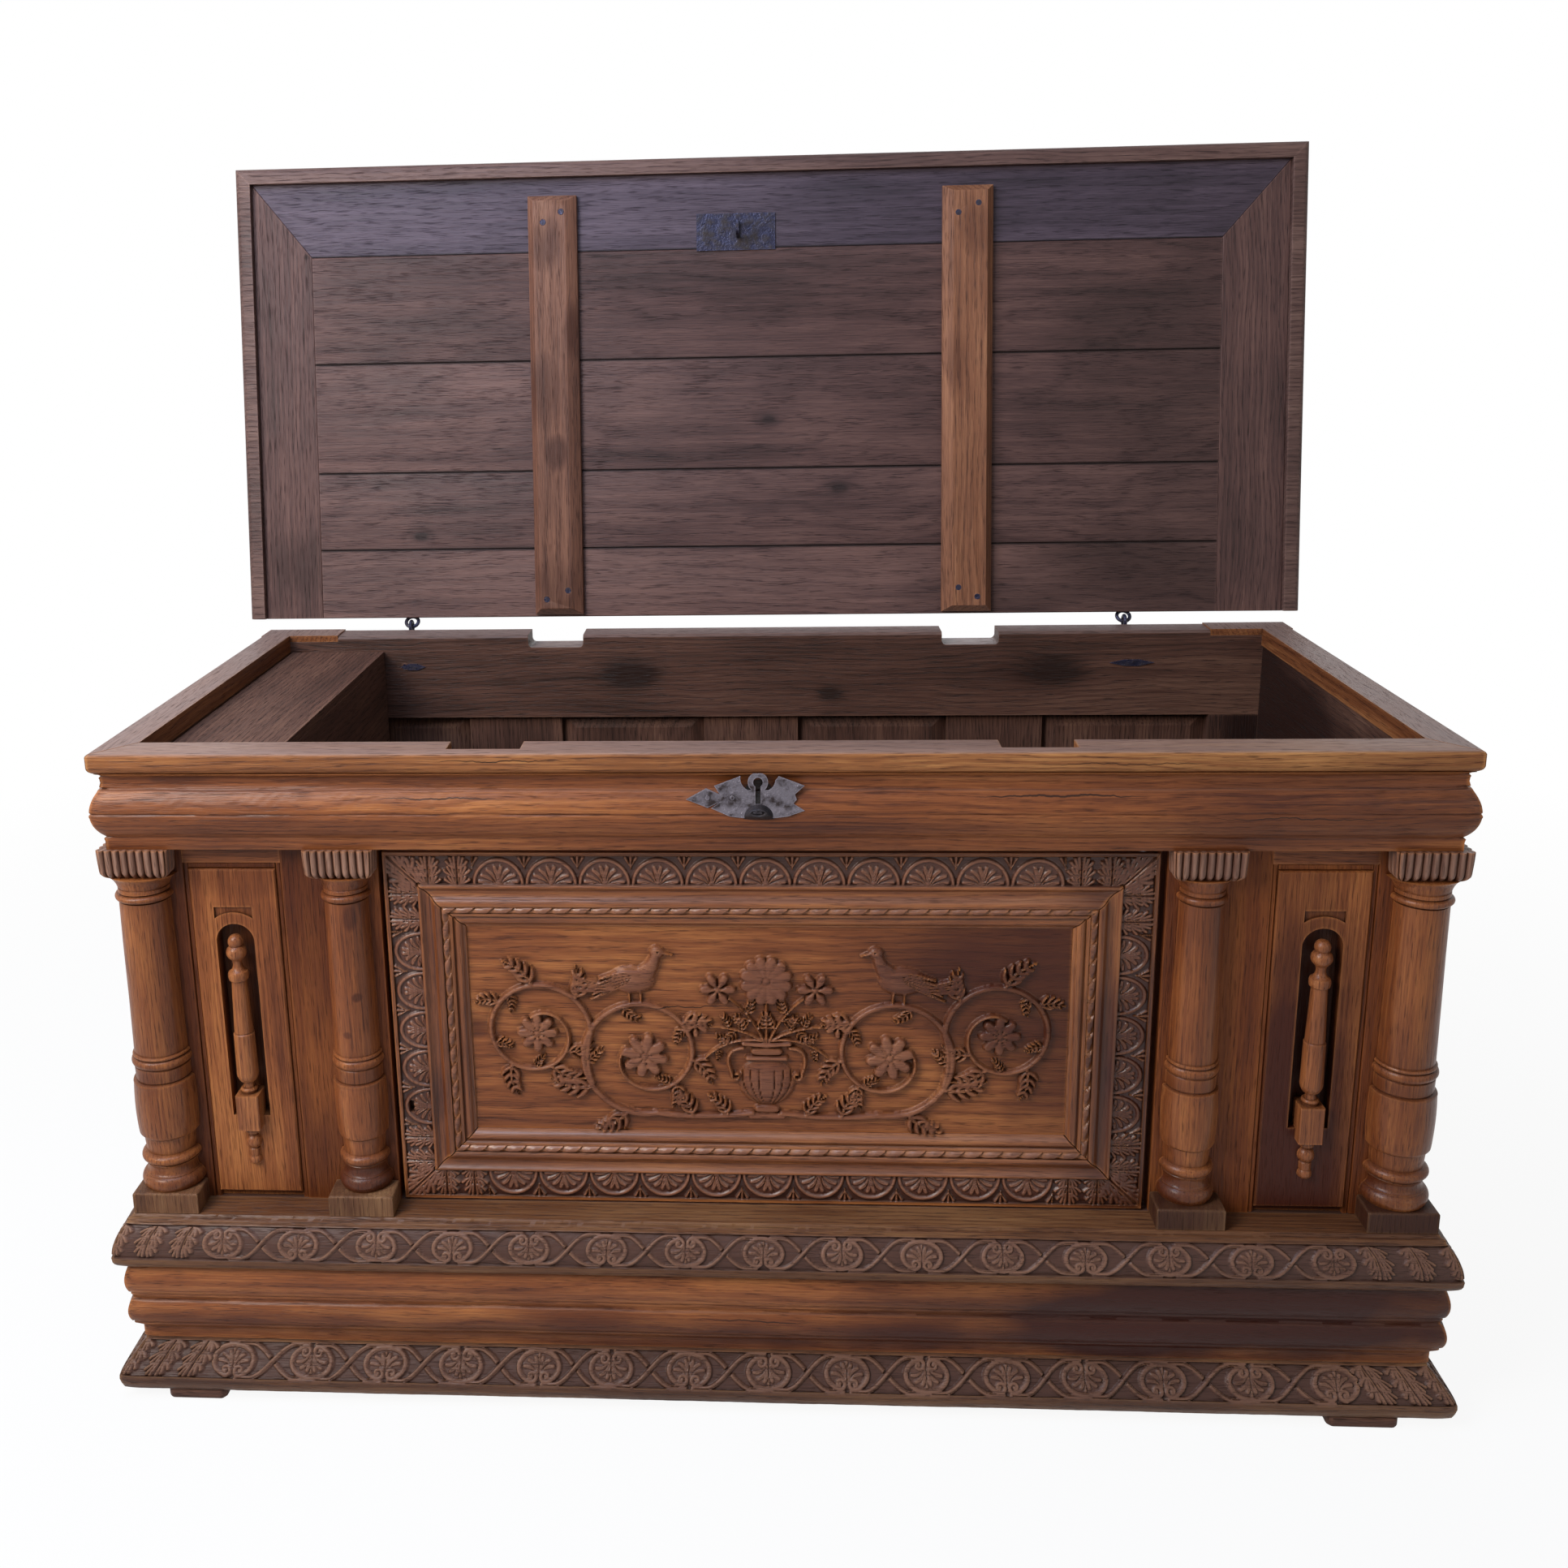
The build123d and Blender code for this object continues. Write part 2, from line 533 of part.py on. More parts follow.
# ---------------------------------------------------------------- chest lock
LOCK_X = (-75.0, 35.0)
LOCK_Z = (775.0, 848.0)
LOCK_BACK = 100.0
LOCK_WALL = 2.5
BOLT_X = (-36.0, 18.0)
BOLT_Y = (76.0, 88.0)
BOLT_Z = (834.0, 842.0)


def chest_lock():
    """An iron case on the inside of the front rail, open at the top for the lid's staple."""
    inner_x = (LOCK_X[0] + LOCK_WALL, LOCK_X[1] - LOCK_WALL)
    inner_y = (FRAME_BACK + LOCK_WALL, LOCK_BACK - LOCK_WALL)
    lock = block((LOCK_X[0] - 8, LOCK_X[1] + 8), (FRAME_BACK, FRAME_BACK + LOCK_WALL), LOCK_Z)
    lock += block(LOCK_X, (FRAME_BACK, LOCK_BACK), LOCK_Z)
    lock -= block(inner_x, inner_y, (LOCK_Z[0] + LOCK_WALL, LOCK_Z[1] - LOCK_WALL))
    lock -= block((STAPLE_X - 4.5, STAPLE_X + 4.5), inner_y, (BOLT_Z[1], LOCK_Z[1] + CUT))
    for x in (-30.0, 8.0):
        lock += block((x - 4, x + 4), (BOLT_Y[0], inner_y[1]), (BOLT_Z[0] - 8, BOLT_Z[0] - RUNNING))
    return lock - keyway((0, FRAME_BACK + LOCK_WALL))


def chest_lock_bolt():
    return block(BOLT_X, BOLT_Y, BOLT_Z)


# ---------------------------------------------------------------- lid, in its closed place
def lid_board(x, y):
    """A board with its arrises eased along the seams, underneath."""
    board = block(x, y, (LID_UNDER, LID_TOP))
    return chamfer(board.faces().sort_by(Axis.Z)[0].edges().filter_by(Axis.X), 1.5)


def lid_front_board():
    plan = [(LID_LEFT, LID_FRONT), (LID_RIGHT, LID_FRONT), (END_BOARD_RIGHT, LID_SEAMS[0]),
            (END_BOARD_LEFT, LID_SEAMS[0])]
    board = plan_prism(plan, (LID_UNDER, LID_TOP))
    return chamfer(board.faces().sort_by(Axis.Z)[0].edges().sort_by(Axis.Y)[1:], 1.0)


def lid_end_boards():
    left = [(LID_LEFT, LID_FRONT), (END_BOARD_LEFT, LID_SEAMS[0]), (END_BOARD_LEFT, LID_BACK),
            (LID_LEFT, LID_BACK)]
    right = [(LID_RIGHT, LID_FRONT), (LID_RIGHT, LID_BACK), (END_BOARD_RIGHT, LID_BACK),
             (END_BOARD_RIGHT, LID_SEAMS[0])]
    boards = [plan_prism(left, (LID_UNDER, LID_TOP)), plan_prism(right, (LID_UNDER, LID_TOP))]
    return [chamfer(b.faces().sort_by(Axis.Z)[0].edges().filter_by(Axis.Y), 1.0) for b in boards]


def lid_boards(loops):
    seams = list(LID_SEAMS) + [LID_BACK]
    boards = [lid_board((END_BOARD_LEFT, END_BOARD_RIGHT), y) for y in zip(seams, seams[1:])]
    for loop in loops:
        boards[-1] -= loop
    return boards


LIP = [(0, LIP_LOW), (LIP_WIDE - 9, LIP_LOW),
       ("arc", (LIP_WIDE - 2.5, LIP_LOW + 3.5), (LIP_WIDE, LIP_LOW + 11)), (LIP_WIDE, LIP_LOW + 20),
       ("arc", (LIP_WIDE - 2, LID_TOP - 3), (LIP_WIDE - LIP_ROUND, LID_TOP)),
       (0, LID_TOP)]


def lid_edge_mouldings():
    """Three mitred strips that hang below the boards and clasp the rim."""
    low, high = LIP_LOW, LID_TOP
    front = side_prism(moved(LIP, lambda q: (LID_FRONT - q[0], q[1])), (LID_LEFT - CUT, LID_RIGHT + CUT))
    front &= plan_prism([(LID_LEFT - CUT, LID_FRONT - CUT), (LID_RIGHT + CUT, LID_FRONT - CUT),
                         (LID_RIGHT, LID_FRONT), (LID_LEFT, LID_FRONT)], (low, high))
    left = front_prism(moved(LIP, lambda q: (LID_LEFT - q[0], q[1])), (LID_FRONT - CUT, LID_BACK))
    left &= plan_prism([(LID_LEFT - CUT, LID_FRONT - CUT), (LID_LEFT, LID_FRONT), (LID_LEFT, LID_BACK),
                        (LID_LEFT - CUT, LID_BACK)], (low, high))
    right = front_prism(moved(LIP, lambda q: (LID_RIGHT + q[0], q[1])), (LID_FRONT - CUT, LID_BACK))
    right &= plan_prism([(LID_RIGHT + CUT, LID_FRONT - CUT), (LID_RIGHT + CUT, LID_BACK),
                         (LID_RIGHT, LID_BACK), (LID_RIGHT, LID_FRONT)], (low, high))
    return [front, left, right]


BATTEN_SCREWS = ((-347.9, 68.0), (-319.0, 52.3), (-353.0, 663.6), (-318.4, 649.5),
                 (304.3, 650.1), (334.0, 665.0), (302.0, 68.0), (333.0, 54.0))
SCREW_R = 4.5


def screw(x, y, grow=0.0):
    low = LID_UNDER - BATTEN_THICK
    return rod(SCREW_R + grow, (x, y, low - 0.6), (x, y, low + 6))


def batten(x, flip):
    """A board with wide bevels; the broader one faces the middle of the lid."""
    low = LID_UNDER - BATTEN_THICK
    shoulder = low + 12
    section = [(-BATTEN_HALF, LID_UNDER), (-BATTEN_HALF, shoulder), (-BATTEN_HALF + 10, low),
               (BATTEN_HALF - 16, low), (BATTEN_HALF, shoulder), (BATTEN_HALF, LID_UNDER)]
    length = [(BATTEN_Y[0], LID_UNDER), (BATTEN_Y[0], shoulder), (BATTEN_Y[0] + 10, low),
              (BATTEN_Y[1] - 10, low), (BATTEN_Y[1], shoulder), (BATTEN_Y[1], LID_UNDER)]
    bar = front_prism(moved(section, lambda q: (x + flip * q[0], q[1])), BATTEN_Y)
    bar &= side_prism(length, (x - BATTEN_HALF, x + BATTEN_HALF))
    for sx, sy in BATTEN_SCREWS:
        if abs(sx - x) < BATTEN_HALF:
            bar -= screw(sx, sy)
    return bar


def lid_keep():
    """An iron plate under the lid, with rivets and the staple that the lock bolt passes through."""
    plate_z = (LID_UNDER - 2, LID_UNDER)
    plate = block((-106, 18), (57.7, 114.7), plate_z)
    for x, y in ((-95.7, 70.4), (-89.4, 100.6), (-66, 84), (7, 68.9), (4, 103)):
        plate += rod(3, (x, y, plate_z[0] - 1.2), (x, y, plate_z[0]))
    staple = block((STAPLE_X - 2, STAPLE_X + 2), (70, 96), (826, plate_z[0]))
    staple = fillet(staple.edges().filter_by(Axis.X).sort_by(Axis.Z)[:2], 9)
    eye = block((STAPLE_X - 2, STAPLE_X + 2), (74, 92), (831, 858))
    return plate + staple - eye


# ---------------------------------------------------------------- door
# The members' section is (distance in from the door's edge, y); fillet, carved band, hollow and
# quarter round, seat of the rope moulding, and a small moulding down to the panel.
ROPE_SEAT = (70.0, 79.0, 34.0)
DOOR_SECTION = [(0, DOOR_BACK), (0, 35), (5, 35), (5, 33.5), (42, 33.5), (43, 31.5), (46, 31.5),
                ("arc", (52, 36), (60, 33.5)), ("arc", (64, 29.8), (68, 29.5)),
                (ROPE_SEAT[0], ROPE_SEAT[2]), (ROPE_SEAT[1], ROPE_SEAT[2]), (79.5, 32.5), (83, 32.5),
                (83.5, 36), ("arc", (90, 34.5), (95, 39)), (DOOR_MEMBER, 40), (DOOR_MEMBER, DOOR_BACK)]
PANEL_Y = (42.0, 58.0)


def door_corner(inset):
    """The door's four corners, moved in by an amount."""
    left, right = DOOR_LEFT + inset, DOOR_RIGHT - inset
    low, high = DOOR_LOW + inset, DOOR_TOP - inset
    return [(left, low), (right, low), (right, high), (left, high)]


def door_member(section, number, inset, width):
    """One side of the door's frame: 0 bottom, 1 right, 2 top, 3 left; mitred at both ends."""
    x, z = (DOOR_LEFT - CUT, DOOR_RIGHT + CUT), (DOOR_LOW - CUT, DOOR_TOP + CUT)
    if number == 0:
        bar = side_prism(moved(section, lambda q: (q[1], DOOR_LOW + q[0])), x)
    elif number == 2:
        bar = side_prism(moved(section, lambda q: (q[1], DOOR_TOP - q[0])), x)
    elif number == 1:
        bar = plan_prism(moved(section, lambda q: (DOOR_RIGHT - q[0], q[1])), z)
    else:
        bar = plan_prism(moved(section, lambda q: (DOOR_LEFT + q[0], q[1])), z)
    outer, inner = door_corner(inset), door_corner(inset + width)
    after = (number + 1) % 4
    mitre = [outer[number], outer[after], inner[after], inner[number]]
    return bar & front_prism(mitre, (0, DOOR_BACK))


def door_pivots():
    """Iron pins at the foot and head of the hinge stile."""
    foot_pin = rod(PIVOT_R, (PIVOT_X, PIVOT_Y, LEDGE_TOP - 12), (PIVOT_X, PIVOT_Y, DOOR_LOW + 24))
    head_pin = rod(PIVOT_R, (PIVOT_X, PIVOT_Y, DOOR_TOP - 24), (PIVOT_X, PIVOT_Y, RAIL_LOW + 12))
    return [foot_pin, head_pin]


LOCK_RECESS = ((DOOR_LEFT, -425.0), (48.0, DOOR_BACK), (355.0, 420.0))


def door_keyhole(y):
    return block((DOOR_KEY_X - 2.5, DOOR_KEY_X + 2.5), y, (DOOR_KEY_Z - 7, DOOR_KEY_Z + 7))


def door_frame():
    members = [door_member(DOOR_SECTION, n, 0, DOOR_MEMBER) for n in range(4)]
    for pin in door_pivots():
        members = [member - pin for member in members]
    members[3] = members[3] - block(*LOCK_RECESS) - door_keyhole((0, DOOR_BACK))
    return members


def door_ropes():
    """Half-round strips in the seats of the frame."""
    low, high, seat = ROPE_SEAT
    middle = (low + high) / 2
    section = [(low, seat), ("arc", (middle, seat - 4.4), (high, seat))]
    return [door_member(section, n, low, high - low) for n in range(4)]


def door_panel():
    return block((DOOR_LEFT + DOOR_MEMBER, DOOR_RIGHT - DOOR_MEMBER), PANEL_Y,
                 (DOOR_LOW + DOOR_MEMBER, DOOR_TOP - DOOR_MEMBER))


DOOR_BOLT = ((DOOR_LEFT + 3, DOOR_LEFT + 33), (52.0, 60.0), (DOOR_KEY_Z - 8, DOOR_KEY_Z + 8))


def door_lock():
    """An iron case let into the stile, with a channel for the bolt and the keyhole."""
    x, y, z = DOOR_BOLT
    channel = block((DOOR_LEFT, x[1] + 3), (y[0] - RUNNING, y[1] + RUNNING),
                    (z[0] - RUNNING, z[1] + RUNNING))
    return block(*LOCK_RECESS) - channel - door_keyhole((0, y[0]))


def door_bolt():
    return block(*DOOR_BOLT)


# ---------------------------------------------------------------- write the sub-parts
rim_left = top_frame_left()
rim_front = top_frame_front()
save("top_frame_front", rim_front)
save("top_frame_left", rim_left)
save("top_frame_right", mirrored(rim_left))
save("back_top_rail", back_top_rail())
save("cornice_front", moulding_front(CORNICE) - keyway((-CUT, FRAME_BACK)))
lower_mouldings = [("ledge", LEDGE), ("plinth_moulding", MOULDS), ("carved_base", BASE)]
for name, section in lower_mouldings:
    save(f"{name}_front", moulding_front(section))
for name, section in [("cornice", CORNICE)] + lower_mouldings:
    left_return = moulding_return(section)
    save(f"{name}_returns", left_return, mirrored(left_return))
save("escutcheon", escutcheon(rim_front))

save("front_top_rail", front_top_rail())
post = post_front_left()
save("front_posts", post, mirrored(post))
save("jamb_left", jamb_left())
save("jamb_right", jamb_right())
save("front_sill", front_sill())
panel = front_panel_left()
save("front_panel_left", panel)
save("front_panel_right", mirrored(panel))
strips = panel_mouldings_left()
save("panel_mouldings", *strips, *[mirrored(strip) for strip in strips])
baluster = baluster_left(panel)
save("balusters", baluster, mirrored(baluster))

save("column_outer_left", column(-OUTER_COLUMN, 1.0))
save("column_inner_left", column(-INNER_COLUMN, INNER_SCALE))
save("column_inner_right", column(INNER_COLUMN, INNER_SCALE))
save("column_outer_right", column(OUTER_COLUMN, 1.0))
places = (-OUTER_COLUMN, -INNER_COLUMN, INNER_COLUMN, OUTER_COLUMN)
slimmer = [0 if abs(x) == OUTER_COLUMN else 1 for x in places]
save("column_plinths", *[column_plinth(x, PLINTH_HALF - less) for x, less in zip(places, slimmer)])
save("capitals", *[capital(x, CAPITAL_HALF - less) for x, less in zip(places, slimmer)])

feet = [foot((-783, -705), (-30, 60)), foot((689, 777), (-32, 58)),
        foot((-783, -705), (600, 690)), foot((695, 777), (600, 690))]
save("feet", *feet)
save("bottom_boards", bottom_boards())
side = side_panel_left()
save("side_panel_left", side)
save("side_panel_right", mirrored(side))
save("back_posts", *back_posts())
save("back_bottom_rail", back_bottom_rail())
save("back_muntins", *back_muntins())
save("back_panels", *back_panels())
save("till_front", till_front())
save("till_bottom", till_bottom())
save("till_lid", till_lid())
save("hinge_loops_case", *hinge_loops_case())
save("chest_lock", chest_lock())
save("chest_lock_bolt", chest_lock_bolt())

lid_loops = [lid_loop(x) for x in HINGE_X]
save("hinge_loops_lid", *[place_open(loop) for loop in lid_loops])
save("lid_front_board", place_open(lid_front_board()))
save("lid_end_boards", *[place_open(board) for board in lid_end_boards()])
save("lid_boards", *[place_open(board) for board in lid_boards(lid_loops)])
save("lid_edge_mouldings", *[place_open(strip) for strip in lid_edge_mouldings()])
save("batten_left", place_open(batten(BATTEN_X[0], 1)))
save("batten_right", place_open(batten(BATTEN_X[1], -1)))
save("batten_screws", *[place_open(screw(x, y)) for x, y in BATTEN_SCREWS])
save("lid_keep", place_open(lid_keep()))

for node, member in zip(("door_bottom_rail", "door_stile_hinge", "door_top_rail", "door_stile_lock"),
                        door_frame()):
    save(node, member)
save("door_rope_mouldings", *door_ropes())
save("door_panel", door_panel())
save("door_pivots", *door_pivots())
save("door_lock", door_lock())
save("door_bolt", door_bolt())
print(f"the case's front edge lies at y = {SHIFT_Y:.3f}")
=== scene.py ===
import json
import math
from collections import namedtuple

import bmesh
import bpy
import numpy as np
from mathutils import Matrix, Vector

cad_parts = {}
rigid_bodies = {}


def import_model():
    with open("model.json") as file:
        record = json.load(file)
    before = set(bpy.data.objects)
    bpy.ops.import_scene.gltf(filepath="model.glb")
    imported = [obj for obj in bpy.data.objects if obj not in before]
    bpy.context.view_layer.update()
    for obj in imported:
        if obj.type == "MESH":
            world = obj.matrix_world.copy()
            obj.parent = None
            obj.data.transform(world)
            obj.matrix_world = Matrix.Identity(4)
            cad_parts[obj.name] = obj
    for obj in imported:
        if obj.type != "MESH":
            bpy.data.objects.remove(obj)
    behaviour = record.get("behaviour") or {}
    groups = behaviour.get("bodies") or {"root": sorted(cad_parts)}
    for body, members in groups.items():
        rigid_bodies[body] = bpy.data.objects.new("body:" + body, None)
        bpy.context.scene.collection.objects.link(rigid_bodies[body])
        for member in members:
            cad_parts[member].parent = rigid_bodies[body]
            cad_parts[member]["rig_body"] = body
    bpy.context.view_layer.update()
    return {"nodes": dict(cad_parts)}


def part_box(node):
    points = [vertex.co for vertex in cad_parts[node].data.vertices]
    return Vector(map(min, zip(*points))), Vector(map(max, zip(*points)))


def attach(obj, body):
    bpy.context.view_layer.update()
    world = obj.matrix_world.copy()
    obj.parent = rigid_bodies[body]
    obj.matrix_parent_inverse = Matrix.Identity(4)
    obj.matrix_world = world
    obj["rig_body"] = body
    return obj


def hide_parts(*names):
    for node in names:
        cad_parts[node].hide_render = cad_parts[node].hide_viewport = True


bl_info = {
    "name": "Carved oak cassone",
    "version": (1, 0, 0),
    "blender": (4, 5, 0),
    "location": "3D View > Sidebar > Cassone",
    "description": "Dresses the frame of a carved oak chest: carving, turned work, finishes and stage",
    "category": "Object",
}

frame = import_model()

# Lengths are in case millimetres, and become the frame's metres when a mesh is made:
# x = 0 at the middle of the case, y = 0 at the rim's front edge, z = 0 on the floor.
FRONT_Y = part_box("top_frame_front")[0].y
RIM_HALF = 810.0           # half length of the rim
CASE_DEPTH = 693.0
FRAME_FACE = 35.0          # plane of the framing behind the mouldings
LEDGE_TOP, LEDGE_LOW = 255.0, 187.6
ROUND_LOW, BASE_LOW = 76.6, 15.0       # undersides of the double round and of the carved base
CORNICE_LOW, CORNICE_TOP = 743.0, 840.0
SIDE_SHEET = -20.0         # the side panels' face, as a projection beyond the rim's end
LID_OPEN = 98.35           # degrees
HINGE_Y, HINGE_Z = 707.4, 866.0
CARVING_OUT = 24.0         # how far the middle of a carved face stands beyond the rim

# The camera, in metres and degrees, and the lens, in pixels of a square image.
CAMERA_PLACE = (0.0075, FRONT_Y - 1.6664, 1.3797)
CAMERA_YAW, CAMERA_PITCH, CAMERA_ROLL = -3.627, 13.344, -1.223
IMAGE_PIXELS = 1932
FOCAL_PIXELS = 1850.45
CENTRE_PIXELS = (836.2, 807.1)     # where the line of sight meets the image
SENSOR_WIDE = 36.0         # millimetres


def case_y(millimetres):
    """A case depth as the frame's y, in metres."""
    return FRONT_Y + millimetres / 1000


# ---------------------------------------------------------------- sizes and colours
def tint(red, green, blue):
    """A colour from 0 to 255 values, as reflected light: ((v / 255 + 0.055) / 1.055) to the power 2.4."""
    return tuple(((v / 255 + 0.055) / 1.055) ** 2.4 for v in (red, green, blue))


def colour(name, description, red, green, blue):
    """A colour that a user may change, given from 0 to 255."""
    return bpy.props.FloatVectorProperty(
        name=name, description=description, subtype="COLOR", size=3, min=0.0, max=1.0,
        default=tint(red, green, blue))


def length(name, description, metres):
    """A length that a user may change."""
    return bpy.props.FloatProperty(
        name=name, description=description, default=metres, min=0.0, unit="LENGTH", precision=5)


class CassoneSizes(bpy.types.PropertyGroup):
    """Depths and spacings of the carving."""
    carving_step: length("Carving step", "Distance between points of a carved surface", 0.00105)
    ledge_relief: length("Ledge relief", "Depth of the ledge's carving", 0.0027)
    base_relief: length("Base relief", "Depth of the base's carving", 0.0031)
    door_relief: length("Door frame relief", "Depth of the carved band round the door", 0.0036)
    panel_relief: length("Panel relief", "Height of the door panel's foliage", 0.0074)
    rope_pitch: length("Rope pitch", "Distance between the gouge cuts of the rope moulding", 0.0240)
    rope_cut: length("Rope cut", "Depth of those gouge cuts", 0.0038)
    gadroon_pitch: length("Gadroon pitch", "Width of one gadroon of a capital", 0.0094)


class CassoneColours(bpy.types.PropertyGroup):
    """Colours of the oak and the iron."""
    oak_dark: colour("Oak, dark", "Pores and dark streaks of the front", 70, 31, 15)
    oak_mid: colour("Oak", "Most of the front", 125, 71, 38)
    oak_light: colour("Oak, light", "Light streaks of the front", 172, 111, 63)
    # the carving's ground is painted darker and its ridges paler, partly grime and wear and partly painted
    # shade and painted highlight
    carved_dark: colour("Carving, ground", "Sunk ground of the carved bands", 73, 49, 41)
    carved_mid: colour("Carving", "Sides of the carved forms", 90, 61, 50)
    carved_light: colour("Carving, ridges", "Rubbed ridges of the carved forms", 120, 87, 71)
    # painted highlight: the gadroons' ridges are painted paler and greyer as a sheen
    capital_sheen: colour("Capitals, ridges", "Rubbed ridges of the gadroons", 138, 110, 97)
    # painted sheen: faces that look up are painted paler and greyer for the cool light they reflect
    top_sheen: colour("Sheeny tops", "Faces that look up, where wax has glinted", 136, 114, 106)
    lid_dark: colour("Lid, dark", "Dark streaks under the lid", 37, 24, 23)
    lid_mid: colour("Lid", "Boards under the lid", 74, 52, 49)
    lid_light: colour("Lid, light", "Light streaks under the lid", 105, 77, 70)
    batten_dark: colour("Batten, dark", "Dark streaks of the battens", 66, 40, 30)
    batten_mid: colour("Batten", "Battens", 112, 74, 54)
    batten_light: colour("Batten, light", "Light streaks of the battens", 146, 104, 76)
    plain_dark: colour("Inner boards, dark", "Dark streaks of the inner boards", 40, 26, 21)
    plain_mid: colour("Inner boards", "Back, bottom and till boards", 80, 53, 43)
    plain_light: colour("Inner boards, light", "Light streaks of the inner boards", 112, 80, 64)
    # the door carving's ground is painted darker and its ridges paler, partly grime and wear and partly
    # painted shade and painted highlight
    door_dark: colour("Door carving, ground", "Sunk ground of the door's carved frame", 66, 36, 27)
    door_mid: colour("Door carving", "Sides of the forms on the door's frame", 94, 55, 42)
    door_light: colour("Door carving, ridges", "Rubbed ridges of the door's frame", 126, 83, 64)
    iron_dark: colour("Dark iron", "Iron of the keep plate", 44, 43, 60)
    iron: colour("Iron", "Worn dark iron", 106, 101, 109)
    iron_rust: colour("Iron, rust", "Rusty patches of the iron", 46, 38, 38)
    iron_black: colour("Black iron", "Lip under the keyhole", 46, 43, 46)
    floor: colour("Floor", "Floor of the stage", 220, 220, 222)
    floor_speck: colour("Floor, specks", "Slow specks of the floor", 200, 200, 202)


# ---------------------------------------------------------------- surfaces
def smooth(t):
    """0 below 0, 1 above 1, and 3t^2 - 2t^3 between."""
    t = np.clip(t, 0.0, 1.0)
    return t * t * (3.0 - 2.0 * t)


def arc(start, through, end, count):
    """Evenly spaced points on the circle through three points: its centre is where their bisectors meet."""
    a, b, c = (np.array(p, float) for p in (start, through, end))
    sides = np.array((b - a, c - b))
    centre = np.linalg.solve(sides, (sides * (np.array((a + b, b + c)) / 2)).sum(1))
    angles = [math.atan2(*(p - centre)[::-1]) for p in (a, b, c)]
    if (angles[1] - angles[0]) * (angles[2] - angles[1]) < 0:
        angles = [t % (2 * math.pi) for t in angles]
    turn = np.linspace(angles[0], angles[2], count)
    return centre + math.dist(a, centre) * np.stack((np.cos(turn), np.sin(turn)), -1)


def bend(start, pull, end, count=8):
    """A curve from start to end drawn towards pull: (1-t)^2 start + 2t(1-t) pull + t^2 end."""
    t = np.linspace(0, 1, count)[:, None]
    start, pull, end = (np.array(point, float) for point in (start, pull, end))
    return (1 - t) ** 2 * start + 2 * t * (1 - t) * pull + t * t * end


def spiral(centre, radii, degrees, count=20, power=1.0):
    """A coil: with t from 0 to 1 the angle changes evenly, and the radius as t to a power."""
    t = np.linspace(0, 1, count)
    turn = np.radians(degrees[0] + (degrees[1] - degrees[0]) * t)
    radius = radii[0] + (radii[1] - radii[0]) * t ** power
    return np.array(centre) + radius[:, None] * np.stack((np.cos(turn), np.sin(turn)), -1)


def surface(name, sheets, body, finish, nodes=(), angle=48.0, layers=None, ends=True):
    """A closed mesh from arrays of points (rows, columns, 3). Each four neighbours are one face, the last
    column joins the first, and a flat face closes each end. Faces turn outwards: where the sum of
    a . (b x c) over a sheet's triangles is negative, its columns are reversed."""
    points, faces, count = [], [], 0
    layers = layers or {}
    values = {key: [] for key in layers}
    for number, sheet in enumerate(sheets):
        rows, columns = sheet.shape[:2]
        index = count + np.arange(rows * columns).reshape(rows, columns)
        wrapped = np.hstack((index, index[:, :1]))
        quads = np.stack((wrapped[:-1, :-1], wrapped[1:, :-1], wrapped[1:, 1:], wrapped[:-1, 1:]), -1)
        quads = quads.reshape(-1, 4)
        flat = sheet.reshape(-1, 3) - sheet.reshape(-1, 3).mean(0)
        a, b, c, d = (flat[quads[:, k] - count] for k in range(4))
        volume = (a * (np.cross(b, c) + np.cross(c, d))).sum()
        caps = [index[0][::-1], index[-1]] if ends else []
        if volume < 0:
            quads, caps = quads[:, ::-1], [cap[::-1] for cap in caps]
        points.append(sheet.reshape(-1, 3))
        faces += quads.tolist() + [cap.tolist() for cap in caps]
        for key in values:
            values[key].append(np.asarray(layers[key][number], np.float32).ravel())
        count += rows * columns
    mesh = bpy.data.meshes.new(name)
    mesh.from_pydata(np.concatenate(points) * 0.001 + np.array((0.0, FRONT_Y, 0.0)), [], faces)
    for key, parts in values.items():
        mesh.attributes.new(key, "FLOAT", "POINT").data.foreach_set("value", np.concatenate(parts))
    mesh.shade_smooth()
    mesh.set_sharp_from_angle(angle=math.radians(angle))
    mesh.materials.append(finish)
    piece = bpy.data.objects.new(name, mesh)
    bpy.context.scene.collection.objects.link(piece)
    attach(piece, body)
    if nodes:
        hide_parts(*nodes)
    return piece


